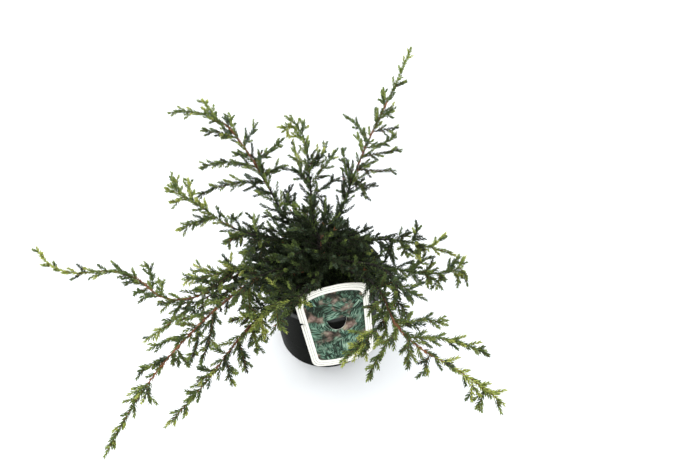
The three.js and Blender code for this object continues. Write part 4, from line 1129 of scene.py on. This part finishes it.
TWIG_PITCH = 3.0
WOOD_TIP_RADIUS = 0.28
WOOD_SIDES = 5
WOOD_RADII = {"stem": 1.2, "twig": 0.6, "spray": 0.42}
# The twigs' bark carries painted shade: near black within 0.055 m of the crown's middle, back to its own
# colour by 0.12 m.
twig_bark = bark_material("young_twig_bark", (0.07, 0.040, 0.018), (0.20, 0.115, 0.045), 0.0002,
                          (0.055, 0.12))
wood_corners, wood_faces, first = [], [], 0
for line, start, order, _, _ in leafy:
    if order not in WOOD_RADII:
        continue
    root = WOOD_RADII[order]
    places = np.linspace(0, line.length, max(3, int(line.length / TWIG_PITCH) + 1))
    points, _ = line.smooth(places)
    if order == "stem":
        points = np.vstack([trunk_middle(points[0][2] - 0.5), points])
        places = np.concatenate([[0], places])
    corners, faces = tube(points, root + (WOOD_TIP_RADIUS - root) * places / line.length, WOOD_SIDES)
    wood_corners.append(corners)
    wood_faces.append(faces + first)
    first += len(corners)
add_piece("twig_wood", np.vstack(wood_corners), np.vstack(wood_faces), twig_bark, foliage_nodes)


# ---- Needles ----
# Short sharp needles in whorls of three, keeled below, closely set along every twig and laid forward
# at its tip. Colour goes by spray: deep green inside, partly painted shade, yellow-green at the ends, rusty
# on old stems.

NEEDLE_LENGTH = 4.7
NEEDLE_WIDTH = 1.7
NEEDLE_PITCH = 1.85
NEEDLE_OPENING = 39
NEEDLE_TIP_OPENING = 23
NEEDLE_OPENING_SPREAD = 7
NEEDLE_ROLL_SPREAD = 16
NEEDLE_LENGTH_PLAY = (0.85, 1.15)
NEEDLE_WIDTH_PLAY = (0.85, 1.1)
NEEDLE_SEED = 77
KIND_PLAY = 0.06
# Over the last few millimetres of a twig the needles close up and shorten to this share.
CLOSING_TIP = 8
TIP_NEEDLE_SHARE = 0.76
# Twigs that end outside the crown's middle are mostly paler at their tip.
PALE_TIP = 6
PALE_FROM = 75
PALE_SPAN = 60
PALE_LIFT = 0.28
PALE_TWIGS = 0.7
RUSTY_PITCH = 2.8
LIMB_NEEDLE_PITCH = 1.6
LIMB_NEEDLES_START = 6
LIMB_NEEDLES_END = 90
LIMB_NEEDLES_ENDS = {"front_right_long": 150, "front_right_curl": 130, "right_upper": 105}
# Needles right on a limb: their opening and length, and how far from its middle they are set.
INNER_NEEDLES = {"opening": 52, "length": 6.5, "stand": 1.2}
OLD_NEEDLES = {"opening": 20, "length": 3.8, "stand": 0.8}
NEEDLE_COLOURS = {
    # deep: a darkened green, partly the inner foliage's own dark tone and partly painted shade.
    "deep": ((0.008, 0.015, 0.004), (0.026, 0.042, 0.012)),
    "rusty": ((0.095, 0.034, 0.012), (0.260, 0.105, 0.036)),
    "blue": ((0.028, 0.047, 0.024), (0.090, 0.130, 0.074)),
    "green": ((0.038, 0.063, 0.014), (0.112, 0.160, 0.042)),
    "fresh": ((0.098, 0.140, 0.024), (0.240, 0.300, 0.072)),
    "tip": ((0.215, 0.258, 0.036), (0.450, 0.490, 0.125)),
}
KINDS = list(NEEDLE_COLOURS)
DEEP_RADIUS = 45
OUTER_SPAN = 120
YOUNG_REACH = 75
PIECE_NEEDLES = 16000


def kind_shares(depth, to_tip):
    """The share of each kind, in the order of KINDS, by depth in the crown and distance to a tip."""
    out = np.clip((depth - DEEP_RADIUS) / OUTER_SPAN, 0, 1)
    young = np.clip(1 - to_tip / YOUNG_REACH, 0, 1)
    # The deep share grows towards the crown's middle, where shade falls: partly painted shade.
    deep = 0.08 * (1 - 0.8 * young) + 0.78 * (1 - out) ** 1.4 * (1 - 0.7 * young)
    rusty = 0.005 * (1 - out)
    blue = (0.10 + 0.04 * out) * (1 - 0.8 * young)
    tip = 0.30 * young
    fresh = 0.22 * out + 0.30 * young
    green = np.clip(1 - deep - rusty - blue - tip - fresh, 0.1, 1)
    shares = np.stack([deep, rusty, blue, green, fresh, tip], axis=1)
    return shares / shares.sum(axis=1)[:, None]


# One needle: its base, two rings of two edges and a keel, and its sharp tip, for a length of 1.
NEEDLE = np.array([(0, 0, 0), (0.28, 0.5, 0.03), (0.28, -0.5, 0.03), (0.28, 0, -0.34),
                   (0.70, 0.36, 0.10), (0.70, -0.36, 0.10), (0.70, 0, -0.14), (1, 0, 0.2)])
NEEDLE_FACES = np.array([(0, 2, 1), (0, 1, 3), (0, 3, 2), (1, 2, 5), (1, 5, 4), (2, 3, 6), (2, 6, 5),
                         (3, 1, 4), (3, 4, 6), (4, 5, 7), (5, 6, 7), (6, 4, 7)])

# Each needle is a row: its base, its way, its upper side, its length, its width and its kind.
NEEDLE_COLUMNS = ((0, 3), (3, 6), (6, 9), (9, 10), (10, 11))
needle_rows = []


def set_needles(line, places, kind, phase, opening, length, stand=0.2):
    """Whorls of three needles at places on a line, turned by phase; opening and length are one for
    all or one per whorl, and stand is how far from the line's middle they are set."""
    points, along = line.smooth(places)
    side = unit(np.cross(UP, along))
    lift = np.cross(along, side)
    count = len(places)
    width = NEEDLE_WIDTH * (0.55 + 0.45 * length / NEEDLE_LENGTH)
    for j in range(3):
        turn = phase + 120 * j + 60 * (np.arange(count) % 2)
        roll = np.radians(turn + chance.uniform(-NEEDLE_ROLL_SPREAD, NEEDLE_ROLL_SPREAD, count))[:, None]
        play = chance.uniform(-NEEDLE_OPENING_SPREAD, NEEDLE_OPENING_SPREAD, count)
        spread = np.radians(opening + play)[:, None]
        outward = side * np.cos(roll) + lift * np.sin(roll)
        way = outward * np.sin(spread) + along * np.cos(spread)
        up = along * np.sin(spread) - outward * np.cos(spread)
        long = length * chance.uniform(*NEEDLE_LENGTH_PLAY, count)
        wide = width * chance.uniform(*NEEDLE_WIDTH_PLAY, count)
        needle_rows.append(np.column_stack([points + outward * stand, way, up, long, wide, kind]))


chance = np.random.default_rng(NEEDLE_SEED)
for line, start, order, shoot_tip, age in leafy:
    end = line.length
    places = np.arange(max(start, 0.5), end - 0.6, NEEDLE_PITCH)
    if len(places) == 0:
        places = np.array([end * 0.5])
    left = end - places
    near_tip = np.clip(left / CLOSING_TIP, 0, 1)
    opening = NEEDLE_TIP_OPENING + (NEEDLE_OPENING - NEEDLE_TIP_OPENING) * near_tip
    length = NEEDLE_LENGTH * (TIP_NEEDLE_SHARE + (1 - TIP_NEEDLE_SHARE) * near_tip)
    middles = line.at(places)
    depth = np.linalg.norm(middles - CROWN_MIDDLE, axis=1)
    to_tip = np.linalg.norm(middles - shoot_tip, axis=1) + age
    bounds = np.cumsum(kind_shares(depth, to_tip), axis=1)
    paler = PALE_LIFT * np.clip((depth - PALE_FROM) / PALE_SPAN, 0, 1) * (left < PALE_TIP)
    paler = paler * (chance.random() < PALE_TWIGS)
    draw = chance.random() + chance.uniform(-KIND_PLAY, KIND_PLAY, len(places)) + paler
    kind = np.minimum((np.clip(draw, 0, 0.999)[:, None] > bounds).sum(axis=1), len(KINDS) - 1)
    set_needles(line, places, kind, chance.uniform(0, 120), opening, length)
    if order in WOOD_RADII:
        continue
    limb_end = LIMB_NEEDLES_ENDS.get(order, LIMB_NEEDLES_END)
    inner = np.arange(LIMB_NEEDLES_START, limb_end, LIMB_NEEDLE_PITCH)
    inner = inner[inner < start]
    # Needles on a limb inside the crown are mostly the deep kind, which is partly painted shade.
    colour = np.where(chance.random(len(inner)) < 0.6, KINDS.index("deep"), KINDS.index("green"))
    set_needles(line, inner, colour, chance.uniform(0, 120, len(inner)), **INNER_NEEDLES)
    old = np.arange(limb_end, start, RUSTY_PITCH)
    old = old[chance.random(len(old)) < 0.8]
    colour = np.where(chance.random(len(old)) < 0.8, KINDS.index("rusty"), KINDS.index("green"))
    if len(old):
        set_needles(line, old, colour, 20, **OLD_NEEDLES)

needle_rows = np.vstack(needle_rows)
for index, (name, (shade, light)) in enumerate(NEEDLE_COLOURS.items()):
    chosen = needle_rows[needle_rows[:, 11] == index]
    colours = [(0.32, shade), (0.68, light)]
    material = grained_material(f"needles_{name}", (240, 2), colours, 0.55, specular=0.2)
    for part, start in enumerate(range(0, len(chosen), PIECE_NEEDLES)):
        rows = chosen[start:start + PIECE_NEEDLES, None]
        base, way, up, long, wide = (rows[..., a:b] for a, b in NEEDLE_COLUMNS)
        forward, across, above = NEEDLE[:, :1], NEEDLE[:, 1:2], NEEDLE[:, 2:]
        corners = base + forward * long * way + wide * (across * np.cross(up, way) + above * up)
        faces = NEEDLE_FACES[None] + (np.arange(len(rows)) * len(NEEDLE))[:, None, None]
        add_piece(f"needles_{name}_{part + 1}", corners.reshape(-1, 3), faces.reshape(-1, 3), material,
                  foliage_nodes, smooth=False)


# ---- Floor, light and camera ----
# A plain white floor under broad soft light, brightest from the back left. The camera looks down at
# 45 degrees from the front.

FLOOR_SIZE = 8
CAMERA_ELEVATION = math.radians(45)
CAMERA_ROLL = math.radians(-2)
CAMERA_DISTANCE = 0.850
CAMERA_TARGET = Vector((0.022, 0.054, 0.100))
CAMERA_LENS = 39.36
CAMERA_SENSOR = 36

floor_white = grained_material("floor_white", (3, 2), [
    (0.3, (0.885, 0.90, 0.915)), (0.7, (0.90, 0.91, 0.92))], 0.9, specular=0.1)
floor_mesh = bpy.data.meshes.new("floor")
half = FLOOR_SIZE / 2
floor_corners = [(-half, -half, 0), (half, -half, 0), (half, half, 0), (-half, half, 0)]
floor_mesh.from_pydata(floor_corners, [], [(0, 1, 2, 3)])
floor_mesh.materials.append(floor_white)
floor = new_object("floor", floor_mesh)

world = bpy.data.worlds.new("white_room")
world.use_nodes = True
set_inputs(world.node_tree.nodes["Background"], {"Color": (0.965, 0.985, 1, 1), "Strength": 1.42})
bpy.context.scene.world = world


def add_softbox(name, place, size, energy):
    lamp = bpy.data.lights.new(name, "AREA")
    lamp.size = size
    lamp.energy = energy
    lamp_object = new_object(name, lamp)
    lamp_object.location = place
    lamp_object.rotation_euler = (Vector((0, 0, 0.1)) - Vector(place)).to_track_quat("-Z", "Y").to_euler()


add_softbox("window", (-1.1, 0.7, 1.9), 1.2, 27)
add_softbox("front_fill", (0.9, -1.4, 1.5), 1.6, 9)

back = Vector((0, -math.cos(CAMERA_ELEVATION), math.sin(CAMERA_ELEVATION)))
right = Vector((1, 0, 0))
up_way = Vector((0, math.sin(CAMERA_ELEVATION), math.cos(CAMERA_ELEVATION)))
level_right = right * math.cos(CAMERA_ROLL) + up_way * math.sin(CAMERA_ROLL)
level_up = up_way * math.cos(CAMERA_ROLL) - right * math.sin(CAMERA_ROLL)
camera_data = bpy.data.cameras.new("camera")
camera_data.sensor_width = CAMERA_SENSOR
camera_data.lens = CAMERA_LENS
camera_data.clip_start = 0.01
camera = new_object("camera", camera_data)
facing = Matrix((level_right, level_up, back)).transposed().to_4x4()
camera.matrix_world = Matrix.Translation(CAMERA_TARGET + back * CAMERA_DISTANCE) @ facing
bpy.context.scene.camera = camera
bpy.context.scene.view_settings.view_transform = "Standard"
